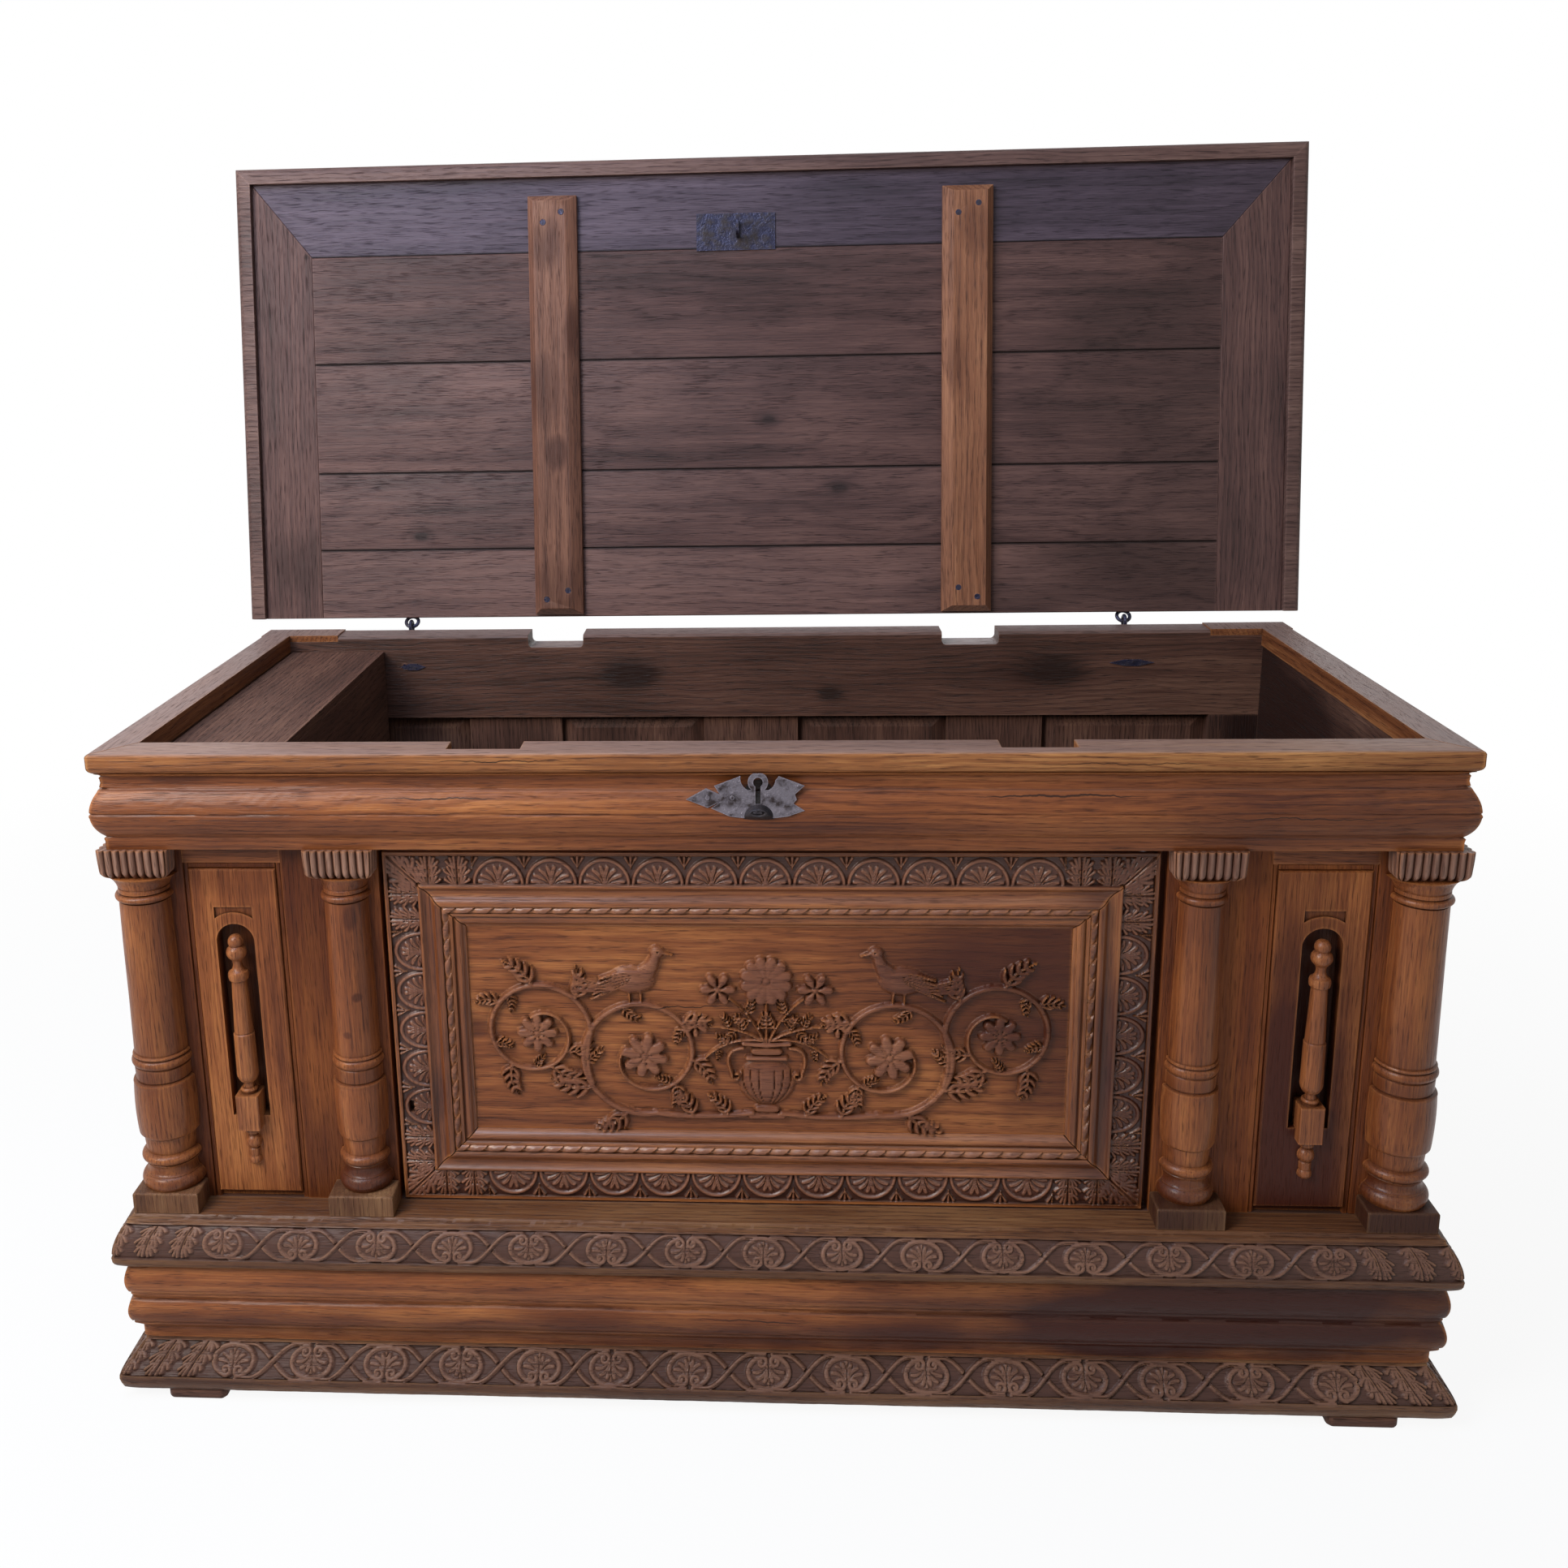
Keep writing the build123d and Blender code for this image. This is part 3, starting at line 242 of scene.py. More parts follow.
class Carving:
    """Heights from 0 to 1 over a face with coordinates a and b; of the forms laid there the highest shows."""

    def __init__(self, a, b):
        self.a, self.b = np.broadcast_arrays(a, b)
        self.height = np.zeros(self.a.shape)

    def ridge(self, path, halves, height=1.0, edge=1.7, crown=0.35, cut=False):
        """A ridge along a path. With d the distance to the path and w the half width there, its height is
        a smooth step of (w - d) / edge, and the part called crown falls with (d / w)^2 instead. A cut is
        taken away from what stands there."""
        path = np.asarray(path, float)
        halves = np.interp(np.linspace(0, 1, len(path)), np.linspace(0, 1, len(halves)), halves)
        low, high = path.min(0) - halves.max(), path.max(0) + halves.max()
        near = (self.a > low[0]) & (self.a < high[0]) & (self.b > low[1]) & (self.b < high[1])
        a, b = self.a[near], self.b[near]
        form = np.zeros(a.shape)
        for start, end, first, last in zip(path[:-1], path[1:], halves[:-1], halves[1:]):
            run = end - start
            t = np.clip(((a - start[0]) * run[0] + (b - start[1]) * run[1]) / max(run @ run, 1e-9), 0, 1)
            away = np.hypot(a - start[0] - t * run[0], b - start[1] - t * run[1])
            half = first + (last - first) * t
            side = smooth((half - away) / np.minimum(edge, half))
            form = np.maximum(form, side * (1 - crown) + crown * np.clip(1 - (away / half) ** 2, 0, 1))
        here = self.height[near]
        self.height[near] = np.maximum(here - height * form, 0) if cut else np.maximum(here, height * form)

    def lobe(self, path, halves, height=1.0, vein=0.3):
        """A leaf's lobe: a ridge with a vein cut along its middle."""
        self.ridge(path, halves, height)
        if vein and len(path) > 2:
            inner = np.asarray(path)[1:-1]
            self.ridge(inner, (0.5, 0.75, 0.5), vein, edge=0.75, cut=True)

    def dome(self, centre, radii, height=1.0, power=0.6):
        """A boss: its height is (1 - (a / ra)^2 - (b / rb)^2) to a power below 1."""
        away = ((self.a - centre[0]) / radii[0]) ** 2 + ((self.b - centre[1]) / radii[1]) ** 2
        self.height = np.maximum(self.height, height * np.clip(1 - away, 0, 1) ** power)


# ---------------------------------------------------------------- ornament of the bands
def palmette_roundel(carving, scale, stretch):
    """A ring whose ends curl in to two scrolls at the foot, with lobes fanning up from between them.
    The ring is the ellipse (22.6 cos t, 17.4 sin t), and each scroll is a coil that leaves it."""
    size = np.array((scale * stretch, scale))
    carving.dome((0, 0), 20.0 * size * (1.0, 0.78), 0.46, 0.2)
    for path in (((1.0, -7), (1.6, 3), (4.2, 9.6)), ((1.6, -7), (4.6, 4.6), (11.4, 6.6)),
                 ((2.2, -7), (7.6, 0.6), (16.0, 0.2))):
        carving.lobe(bend(*path) * size, np.array((0.9, 1.9, 3.3, 3.2)) * scale, 0.95, 0.22)
    carving.ridge(np.array(((0.0, 5.5), (0.0, 12.6))) * size, np.array((0.8, 2.6)) * scale, 0.9)
    t = np.radians(np.linspace(90, -66, 22))
    ring = np.stack((22.6 * np.cos(t), 17.4 * np.sin(t)), -1)
    scroll = spiral((7.7, -10.3), (6.3, 2.2), (-80, -450), 18)
    carving.ridge(np.vstack((ring, scroll)) * size, np.array((3.7, 3.7, 3.6, 2.7, 2.1)) * scale, 1.0, 1.4)
    carving.ridge(ring * size * 0.92, (0.6, 0.6), 0.22, edge=0.8, cut=True)
    carving.dome(np.array((7.7, -10.3)) * size, 2.5 * size, 1.0)


def hanging_leaf(carving, scale):
    """Half of an acanthus leaf that hangs from the band's upper edge: a stem and three tiers of rounded
    fingers, each tier fanning out and down from the stem."""
    carving.dome((0, 2 * scale), (15.5 * scale, 20 * scale), 0.4, 0.2)
    for root, tips in (((2.0, 20.0), ((6.4, 7.4), (11.0, 9.0), (15.6, 13.0))),
                       ((2.0, 9.0), ((6.6, -6.2), (11.8, -4.4), (16.4, 0.2))),
                       ((1.6, -2.0), ((3.4, -17.4), (8.4, -16.2), (13.2, -11.4)))):
        for tip in tips:
            pull = (root[0] + 0.6 * (tip[0] - root[0]), root[1] + 0.25 * (tip[1] - root[1]))
            halves = np.array((1.0, 2.0, 2.9, 3.0)) * scale
            carving.ridge(bend(root, pull, tip, 6) * scale, halves, 1.0, 1.7, 0.5)
    carving.ridge(np.array(((1.8, 19.5), (1.8, -14.0))) * scale, np.array((2.0, 1.6)) * scale, 1.0)


def guilloche(across, b, scale):
    """Two strands that cross: b = 18.6 sin(90 degrees x c / 27) to either side of the crossing, and level
    beyond. One strand dips where it passes under the other, and each has a line cut along it."""
    c = np.linspace(-41, 41, 25)
    rise = 18.6 * np.sin(np.pi / 2 * np.clip(c / 27, -1, 1))
    over, under, gap = Carving(across, b), Carving(across, b), Carving(across, b)
    path = np.stack((c, rise), -1) * scale
    for strand, way in ((over, (1, 1)), (under, (1, -1))):
        strand.ridge(path * way, (3.3 * scale,) * 2)
        strand.ridge((path + (1.1, -1.0)) * way, (0.8, 0.8), 0.4, edge=0.8, cut=True)
    gap.ridge(path[8:17], (4.9 * scale,) * 2, edge=1.3, crown=0.0)
    return np.maximum(over.height, 0.96 * under.height * (1 - gap.height))


SPACING = 100.0            # about how far apart the roundels stand


def band_carving(along, b, centres, scale, flip):
    """Heights of a carved band, and where it lies beyond the first or the last roundel: roundels stand at
    the centres, every other one upside down, with strands that cross between them."""
    centres = np.asarray(centres, float)
    place = np.interp(along, centres, np.arange(len(centres)))
    before, after = np.minimum(along - centres[0], 0), np.maximum(along - centres[-1], 0)
    place = place + before / SPACING + after / SPACING
    nearest = np.clip(np.rint(place), 0, len(centres) - 1).astype(int)
    a = along - centres[nearest]
    way = np.where((nearest + flip) % 2 == 0, 1.0, -1.0)
    wobble = 0.5 * np.sin(along * 0.071) + 0.4 * np.sin(along * 0.19 + 1.0)
    roundels = Carving(np.abs(a), b * way + wobble * 0.6)
    palmette_roundel(roundels, scale, 1.04)
    half_way = np.floor(place) + 0.5
    across = (place - half_way) * SPACING
    inside = (place > -0.02) & (place < len(centres) - 0.98)
    strands = np.where(inside, guilloche(across, b, scale), 0.0)
    heights = np.maximum(roundels.height, strands * np.where(roundels.height > 0.05, 0.9, 1.0))
    return heights, (place < 0) | (place > len(centres) - 1)


def leaves(corner, b, reach, scale, target=45.0):
    """Hanging leaves spaced from the mitre, the first one folded over it. corner is the distance from it."""
    count = max(round(reach / target - 0.5), 1) + 0.5
    pitch = reach / count
    number = np.minimum(np.rint(corner / pitch), count - 0.5)
    leaf = Carving(np.abs(corner - number * pitch), b)
    hanging_leaf(leaf, scale)
    return np.where(corner < reach, leaf.height, 0.0)


# A moulding's section. rows are its points, run the length of its worked face; each row has its distance
# along that face, whether it is on the face, and its normal.
Section = namedtuple("Section", "rows distance worked normal run")


def section_rows(before, face, after):
    """The section that goes through the points before the worked face, the face and the points after. A
    normal stands square to the step between a row's neighbours."""
    rows = np.vstack((before, face, after))
    run = np.concatenate(((0.0,), np.cumsum(np.hypot(*np.diff(face, axis=0).T))))
    place = np.arange(len(rows)) - len(before)
    worked = (place >= 0) & (place < len(face))
    distance = np.zeros(len(rows))
    distance[worked] = run
    tangent = np.gradient(rows, axis=0)
    normal = np.stack((tangent[:, 1], -tangent[:, 0]), -1)
    normal /= np.maximum(np.linalg.norm(normal, axis=1), 1e-9)[:, None]
    return Section(rows, distance, worked, normal, run[-1])


def face_margin(section):
    """0 at the edges of the worked face and off it, and 1 from 0.9 mm inside them."""
    return smooth(np.minimum(section.distance, section.run - section.distance) / 0.9) * section.worked


def uneven(along, across):
    """Hand work's unevenness, under a millimetre: slow waves along a moulding and shallow dents on it."""
    waves = 0.30 * np.sin(along * 0.011 + 1.3) + 0.18 * np.sin(along * 0.037 + across * 0.05)
    dents = np.sin(along * 0.13 + across * 0.31) * np.sin(across * 0.23 - along * 0.017 + 2.0)
    return waves + 0.16 * dents + 0.08 * np.sin(along * 0.41 - across * 0.5) * np.sin(along * 0.029)


def round_case(section, step, shape, blunt=2.2):
    """Front length and two returns of a moulding, mitred at the corners. A row is a point of the section,
    (p, z), with p the projection beyond the rim; shape gives what is taken off along its normal and the
    levels kept as an attribute. On the front, x = (rim half + p) u with u from -1 to 1; on a return, y
    runs from -p to the back. The corners are blunt with wear."""
    rows, normal = section.rows, section.normal
    sheets, levels = [], []

    def placed(along, corner, front):
        """The projection, height and level of points at a distance from the middle and from the mitre."""
        taken, level = shape(along, corner, front)
        out = (rows[None, :, 0] > -9)
        p = rows[None, :, 0] - taken * normal[None, :, 0]
        p = p - blunt * np.clip(1 - corner / 26, 0, 1) ** 2 * out
        p = p + uneven(along, rows[None, :, 1]) * out * np.clip(corner / 60, 0, 1)
        p = np.minimum(p, rows[:, 0].max())
        return p, rows[None, :, 1] - taken * normal[None, :, 1], level

    half = RIM_HALF + rows[:, 0]
    u = np.linspace(-1, 1, int(2 * half.max() / step))
    along = u[:, None] * half[None, :]
    p, z, level = placed(along, half[None, :] - np.abs(along), True)
    sheets.append(np.stack((u[:, None] * (RIM_HALF + p), -p, z), -1))
    levels.append(level)
    side_rows = np.maximum(rows[:, 0], SIDE_SHEET)
    w = np.linspace(0, 1, int((CASE_DEPTH + 30) / (step * 1.15)))
    along = -side_rows[None, :] + (CASE_DEPTH + side_rows[None, :]) * w[:, None]
    p, z, level = placed(along, along + side_rows[None, :], False)
    p = np.maximum(p, SIDE_SHEET)
    for side in (-1, 1):
        sheets.append(np.stack((side * (RIM_HALF + p), -p + (CASE_DEPTH + p) * w[:, None], z), -1))
        levels.append(level)
    return sheets, levels


def carved_moulding(section, relief, step, centres, return_centres, scale, flip):
    """Front length and two returns of a carved moulding: relief x (1 - height) is taken off its face."""
    b = (section.distance - section.run / 2)[None, :]
    margin = face_margin(section)
    beyond = CARVING_OUT - 27 * scale

    def shape(along, corner, front):
        heights, ends = band_carving(along, b, centres if front else return_centres, scale, flip)
        if front:
            for_left = leaves(corner, b, RIM_HALF + beyond + centres[0], scale)
            for_right = leaves(corner, b, RIM_HALF + beyond - centres[-1], scale)
            leaf = np.where(along < 0, for_left, for_right)
        else:
            leaf = leaves(corner, b, return_centres[0] + beyond, scale)
            leaf = np.where(along < CASE_DEPTH / 2, leaf, 0.0)
        heights = np.maximum(np.where(ends & (leaf > 0), 0.0, heights), leaf)
        heights = np.where(section.worked[None, :], heights, 1.0)
        return relief * (1 - heights) * margin[None, :], heights

    return round_case(section, step, shape)


# ---------------------------------------------------------------- shader expressions
SEAM_WIDE = 0.0036         # half width of a seam between boards, in metres
WEAR_GLINT_REACH, GRIME_SHADE_REACH = 0.0035, 0.012     # how far in from edges the wear and painted highlight go, and how far out of hollows the grime and painted shade
IRON_WEAR_GLINT, IRON_GRIME_SHADE = 0.0015, 0.004       # and the same for iron


class Wire:
    """One output of a node tree. Arithmetic on it adds a Math node for each sign."""

    def __init__(self, tree, socket=None):
        self.tree, self.socket = tree, socket

    def node(self, kind, feeds=(), output=0, **settings):
        """Adds a node, sets its options, feeds its inputs and returns one of its outputs."""
        made = self.tree.nodes.new(kind)
        for key, value in settings.items():
            setattr(made, key, value)
        for key, value in dict(feeds).items():
            if isinstance(value, Wire):
                self.tree.links.new(value.socket, made.inputs[key])
            else:
                made.inputs[key].default_value = value
        return Wire(self.tree, made.outputs[output])

    def math(self, operation, *values):
        """A Math node on values or wires."""
        return self.node("ShaderNodeMath", enumerate(values), operation=operation)

    def __add__(self, other):
        return self.math("ADD", self, other)

    def __radd__(self, other):
        return self.math("ADD", other, self)

    def __sub__(self, other):
        return self.math("SUBTRACT", self, other)

    def __rsub__(self, other):
        return self.math("SUBTRACT", other, self)

    def __mul__(self, other):
        return self.math("MULTIPLY", self, other)

    def __rmul__(self, other):
        return self.math("MULTIPLY", other, self)

    def __truediv__(self, other):
        return self.math("DIVIDE", self, other)

    def __rtruediv__(self, other):
        return self.math("DIVIDE", other, self)

    def __pow__(self, other):
        return self.math("POWER", self, other)

    def __neg__(self):
        return self.math("MULTIPLY", self, -1.0)

    def sine(self):
        """The sine of the value, in radians."""
        return self.math("SINE", self)

    def clamp(self, low=0.0, high=1.0):
        """The value, kept between low and high."""
        return self.math("MINIMUM", self.math("MAXIMUM", self, low), high)

    def part(self, low, high):
        """How far self is from low to high, from 0 to 1."""
        return ((self - low) / (high - low)).clamp()

    def vector(self, x, y, z):
        """A point from its three parts."""
        return self.node("ShaderNodeCombineXYZ", enumerate((x, y, z)))

    def noise(self, x, y, z, detail=2.0, roughness=0.5):
        """Noise over a point whose parts are already scaled to the grain, spread from about 0 to 1."""
        made = self.node("ShaderNodeTexNoise", {
            "Vector": self.vector(x, y, z), "Scale": 1.0, "Detail": detail, "Roughness": roughness})
        return (made - 0.5) * 1.7 + 0.5

    def hollows(self, reach):
        """How closely the piece's own surface stands round a point, within reach: 0 in the open."""
        return 1.0 - self.node("ShaderNodeAmbientOcclusion", {"Distance": reach}, "AO", samples=4,
                               only_local=True)

    def edges(self, reach):
        """The same looking inwards: 0 over a thick part, high at its outer edges."""
        return 1.0 - self.node("ShaderNodeAmbientOcclusion", {"Distance": reach}, "AO", samples=4,
                               only_local=True, inside=True)

    def mix(self, factor, first, second):
        """first where factor is 0, second where it is 1; both are colours."""
        def four(value):
            return value if isinstance(value, Wire) else (*value, 1.0)
        return self.node("ShaderNodeMix", {0: factor, 6: four(first), 7: four(second)}, 2, data_type="RGBA",
                         clamp_factor=True)


def blank(name):
    """A new material, a wire into its tree and its surface shader."""
    made = bpy.data.materials.new(name)
    made.use_nodes = True
    shader = made.node_tree.nodes["Principled BSDF"]
    shader.inputs["Specular IOR Level"].default_value = 0.20
    return made, Wire(made.node_tree), shader


def feed(wire, shader, **inputs):
    """Links wires to a shader's inputs and sets plain values on them."""
    for key, value in inputs.items():
        socket = shader.inputs[key.replace("_", " ")]
        if isinstance(value, Wire):
            wire.tree.links.new(value.socket, socket)
        else:
            socket.default_value = value


# For each direction of the grain, which of a point's parts runs along it and which two lie across
GRAIN = {"x": (0, 1, 2), "y": (1, 0, 2), "z": (2, 0, 1)}


def closed_place(wire, place):
    """The point at which this part of the lid lies with the lid closed: the open point turned back about
    the hinge, R p + (h - R h)."""
    turn = math.radians(LID_OPEN)
    y, z = case_y(HINGE_Y), HINGE_Z / 1000
    turned_y = y * math.cos(turn) - z * math.sin(turn)
    turned_z = y * math.sin(turn) + z * math.cos(turn)
    shift = (0.0, y - turned_y, z - turned_z)
    return wire.node("ShaderNodeMapping", {"Vector": place, "Rotation": (turn, 0.0, 0.0), "Location": shift})


def oak(name, along, shades, lid=False, seed=0.0, pores=1.0, rough=0.46, carved=None, tops=0.0, boards=(),
        knots=(), stains_and_shade=(), ring=0.0055, arch=26.0, figure=0.16, hollow=None, coat=0.0, steep=0.55,
        cracks=()):
    """Oak with its grain along one axis. Its tone is a sum of noises stretched along the board: broad
    streaks, fine fibres, slow blotches, and growth rings, which are the sine of the distance from a pith
    plus a slow flow, so that they close to arches. The tone picks a colour between dark, mid and light;
    pores are dark flecks, and with the fibres they make the bump. The piece's own hollows are darkened,
    partly for grime and partly as painted shade, and its edges lightened, partly for wear and partly as a
    painted highlight. Knots are (g, a, radius) in metres, boards (place, step of tone), stains and shade
    (x, z, wide, tall, strength), with y for z on the lid, some of them real stains and some painted shade
    where the light falls off; a hollow is painted darker as shade from y to y, and tops get a painted sheen,
    paler and greyer, where they face up more than steep. Cracks (from x, to x, z, width) are dark lines
    that wander."""
    made, wire, shader = blank(name)
    place = wire.node("ShaderNodeTexCoord", output="Object")
    if lid:
        place = closed_place(wire, place)
    axes = [wire.node("ShaderNodeSeparateXYZ", {0: place}, k) for k in range(3)]
    g, a, b = (axes[k] for k in GRAIN[along])
    tone_shift, seam = 0.0, 0.0
    for spot, step in boards:
        seam = seam + (1.0 - wire.math("ABSOLUTE", a - spot) / SEAM_WIDE).clamp()
        past = wire.math("GREATER_THAN", a, spot)
        tone_shift = tone_shift + past * step
        g = g + past * 0.37
    knot = 0.0
    for at_g, at_a, size in knots:
        along_g, along_a = axes[GRAIN[along][0]] - at_g, axes[GRAIN[along][1 if lid else 2]] - at_a
        knot = knot + wire.math("EXPONENT", -((along_g * 0.55) ** 2.0 + along_a ** 2.0) / size ** 2)
    g = g + seed
    sway = wire.noise(g * 2.3, a * 7.0, b * 7.0 + seed, 3.0) - 0.5
    a, b = a + sway * 0.010, b + sway * 0.008
    streak = wire.noise(g * 1.7, a * 46.0, b * 46.0, 5.0, 0.65)
    fibre = wire.noise(g * 9.0, a * 520.0, b * 520.0, 3.0, 0.65)
    pore = wire.noise(g * 42.0, a * 760.0, b * 760.0, 1.0)
    blotch = wire.noise(g * 2.9 + 7.0, a * 7.0, b * 7.0, 3.0, 0.55)
    pith = ((a + 0.06) ** 2.0 + (b * 0.7 + 0.11) ** 2.0) ** 0.5
    rings = (pith * (2 * math.pi / ring) + sway * arch + knot * 9.0).sine() * 0.5 + 0.5
    tone = ((streak - 0.5) * 0.58 + (fibre - 0.5) * 0.55 - (rings ** 3.0) * figure + (blotch - 0.5) * 0.70
            + 0.53 + tone_shift - knot * 0.7)
    holes = pore.part(0.58, 0.80) * pores * (0.4 + rings * 0.6)
    dark, mid, light = (tuple(shade) for shade in shades)
    base = wire.mix((tone * 2.0).clamp(), dark, mid)
    base = wire.mix((tone * 2.0 - 1.0).clamp(), base, light)
    # the relief attribute picks the carving's colour: the sunk ground darker, partly grime and partly painted
    # shade, the ridges paler, partly wear and partly painted highlight
    if carved:
        low, middle, high = (tuple(shade) for shade in carved)
        relief = wire.node("ShaderNodeAttribute", output="Fac", attribute_name="relief")
        band = wire.node("ShaderNodeAttribute", output="Fac", attribute_name="band")
        wood = wire.mix((relief * 1.5 + (tone - 0.5) * 0.8).clamp(), low, middle)
        wood = wire.mix((relief * 1.6 - 0.9 + (tone - 0.5) * 1.3).clamp(), wood, high)
        base = wire.mix(band, base, wood)
    # painted sheen: where a face looks up more than steep, it is painted paler and greyer, as the cool light
    # it reflects
    if tops:
        up = wire.node("ShaderNodeSeparateXYZ", {0: wire.node("ShaderNodeTexCoord", output="Normal")}, 2)
        paler = (up.part(steep, 0.98) * tops * (0.6 + fibre * 0.7)).clamp()
        base = wire.mix(paler, base, tuple(bpy.context.scene.cassone_colours.top_sheen))
    # each mark darkens a patch: some are real stains, others painted shade where the light falls off, as
    # noted where the finishes are made
    for x, z, wide, tall, strength in stains_and_shade:
        far = ((axes[0] - x) / wide) ** 2.0 + ((axes[1 if lid else 2] - z) / tall) ** 2.0
        far = far + (blotch - 0.5) * 1.6
        deep = max(strength, 1.0) ** 2
        stain_and_shade = (dark[0] * 0.62 / deep, dark[1] * 0.38 / deep, dark[2] * 0.32 / deep)
        base = wire.mix(((1.0 - far).part(0.0, 0.9) * strength).clamp(), base, stain_and_shade)
    # painted shade: the sunk part of a recess is painted darker with its depth
    if hollow:
        base = wire.mix(axes[1].part(*hollow) * 0.7, base, tuple(v * 0.5 for v in dark))
    for start, end, level, wide in cracks:
        line = axes[2] - level - wire.noise(axes[0] * 14.0, level, 0.0, 4.0, 0.7) * 0.009
        depth = ((axes[0] - start) * (end - axes[0]) * (4.0 / (end - start) ** 2)).clamp()
        seam = seam + (1.0 - wire.math("ABSOLUTE", line) / (depth * wide + 0.00001)).clamp()
    if boards or cracks:
        base = wire.mix((seam * 1.5).clamp() * 0.92, base, tuple(v * 0.1 for v in dark))
    # the piece's own hollows are darkened, partly for grime and partly as painted shade, and its edges
    # lightened, partly for wear and partly as a painted highlight
    worn, grime_and_shade = wire.edges(WEAR_GLINT_REACH), wire.hollows(GRIME_SHADE_REACH)
    base = wire.mix((worn * 1.5 - 0.15).clamp() * 0.5, base, tuple(min(v * 1.25, 1.0) for v in light))
    grime_and_shade = (grime_and_shade * 1.7 - 0.1 + (blotch - 0.5) * grime_and_shade).clamp() * 0.85
    base = wire.mix(grime_and_shade, base, tuple(v * 0.35 for v in dark))
    base = wire.mix((holes * 0.6).clamp(), base, tuple(v * 0.4 for v in dark))
    height = fibre * 0.5 + rings * 0.16 - holes * 0.9 + streak * 0.5
    bump = wire.node("ShaderNodeBump", {"Height": height, "Strength": 0.6, "Distance": 0.0008})
    feed(wire, shader, Base_Color=base, Normal=bump, Coat_Weight=coat, Coat_Roughness=0.22,
         Roughness=(rough + (fibre - 0.5) * 0.18 + (blotch - 0.5) * 0.16 + holes * 0.2).clamp(0.2, 0.9))
    return made


def ironwork(name, bare, rusty, metal):
    """Forged iron: dark metal with rusty patches where slow noise is high, hammered and pitted."""
    made, wire, shader = blank(name)
    place = wire.node("ShaderNodeTexCoord", output="Object")
    x, y, z = (wire.node("ShaderNodeSeparateXYZ", {0: place}, k) for k in range(3))
    patch = wire.noise(x * 70, y * 70, z * 70, 4.0, 0.6)
    pit = wire.noise(x * 330, y * 330, z * 330, 3.0, 0.6)
    rust = patch.part(0.42, 0.75)
    shade = wire.mix(rust, tuple(bare), tuple(rusty))
    # painted shade in the iron's own hollows, partly grime, and a painted highlight on its edges, partly bare
    # worn metal
    shade = wire.mix((wire.hollows(IRON_GRIME_SHADE) * 1.3).clamp(), shade, tuple(v * 0.25 for v in bare))
    shade = wire.mix((wire.edges(IRON_WEAR_GLINT) * 0.9).clamp(), shade, tuple(min(v * 2.0, 1.0) for v in bare))
    height = pit * 0.5 + patch * 1.3
    bump = wire.node("ShaderNodeBump", {"Height": height, "Strength": 0.8, "Distance": 0.0012})
    feed(wire, shader, Base_Color=shade, Metallic=(metal + 0.3 - rust * 0.5).clamp(), Normal=bump,
         Roughness=(0.30 + rust * 0.35 + (pit - 0.5) * 0.3).clamp(0.15, 0.95))
    return made


FINISHES = {}          # filled by the finishes operator; the letter is the way the grain runs
NODE_FINISH = {
    "rim x": ("top_frame_front",),
    "rim y": ("top_frame_left", "top_frame_right"),
    "back x": ("back_top_rail",),
    "oak x": ("cornice_front", "plinth_moulding_front", "front_top_rail"),
    "oak y": ("cornice_returns", "plinth_moulding_returns"),
    "post z": ("front_posts", "jamb_left", "jamb_right", "panel_mouldings"),
    "turned z": ("balusters",),
    "panel z": ("front_panel_left", "front_panel_right"),
    "plinth z": ("column_plinths",),
    "column z": ("column_outer_left", "column_outer_right", "column_inner_left", "column_inner_right"),
    "lid x": ("lid_boards",),
    "lid front": ("lid_front_board",),
    "lid y": ("lid_end_boards",),
    "lid edge": ("lid_edge_mouldings",),
    "batten left": ("batten_left",),
    "batten right": ("batten_right",),
    "plain x": ("bottom_boards", "back_bottom_rail", "front_sill", "feet"),
    "plain y": ("side_panel_left", "side_panel_right", "till_front", "till_bottom", "till_lid"),
    "plain z": ("back_posts", "back_muntins", "back_panels"),
    "iron": ("escutcheon", "chest_lock", "chest_lock_bolt", "door_pivots", "door_lock", "door_bolt"),
    "dark iron": ("lid_keep", "batten_screws", "hinge_loops_lid", "hinge_loops_case"),
}


def scaled(shades, *shares):
    """Shades with their red, green and blue multiplied."""
    return tuple(tuple(v * share for v, share in zip(shade, shares)) for shade in shades)


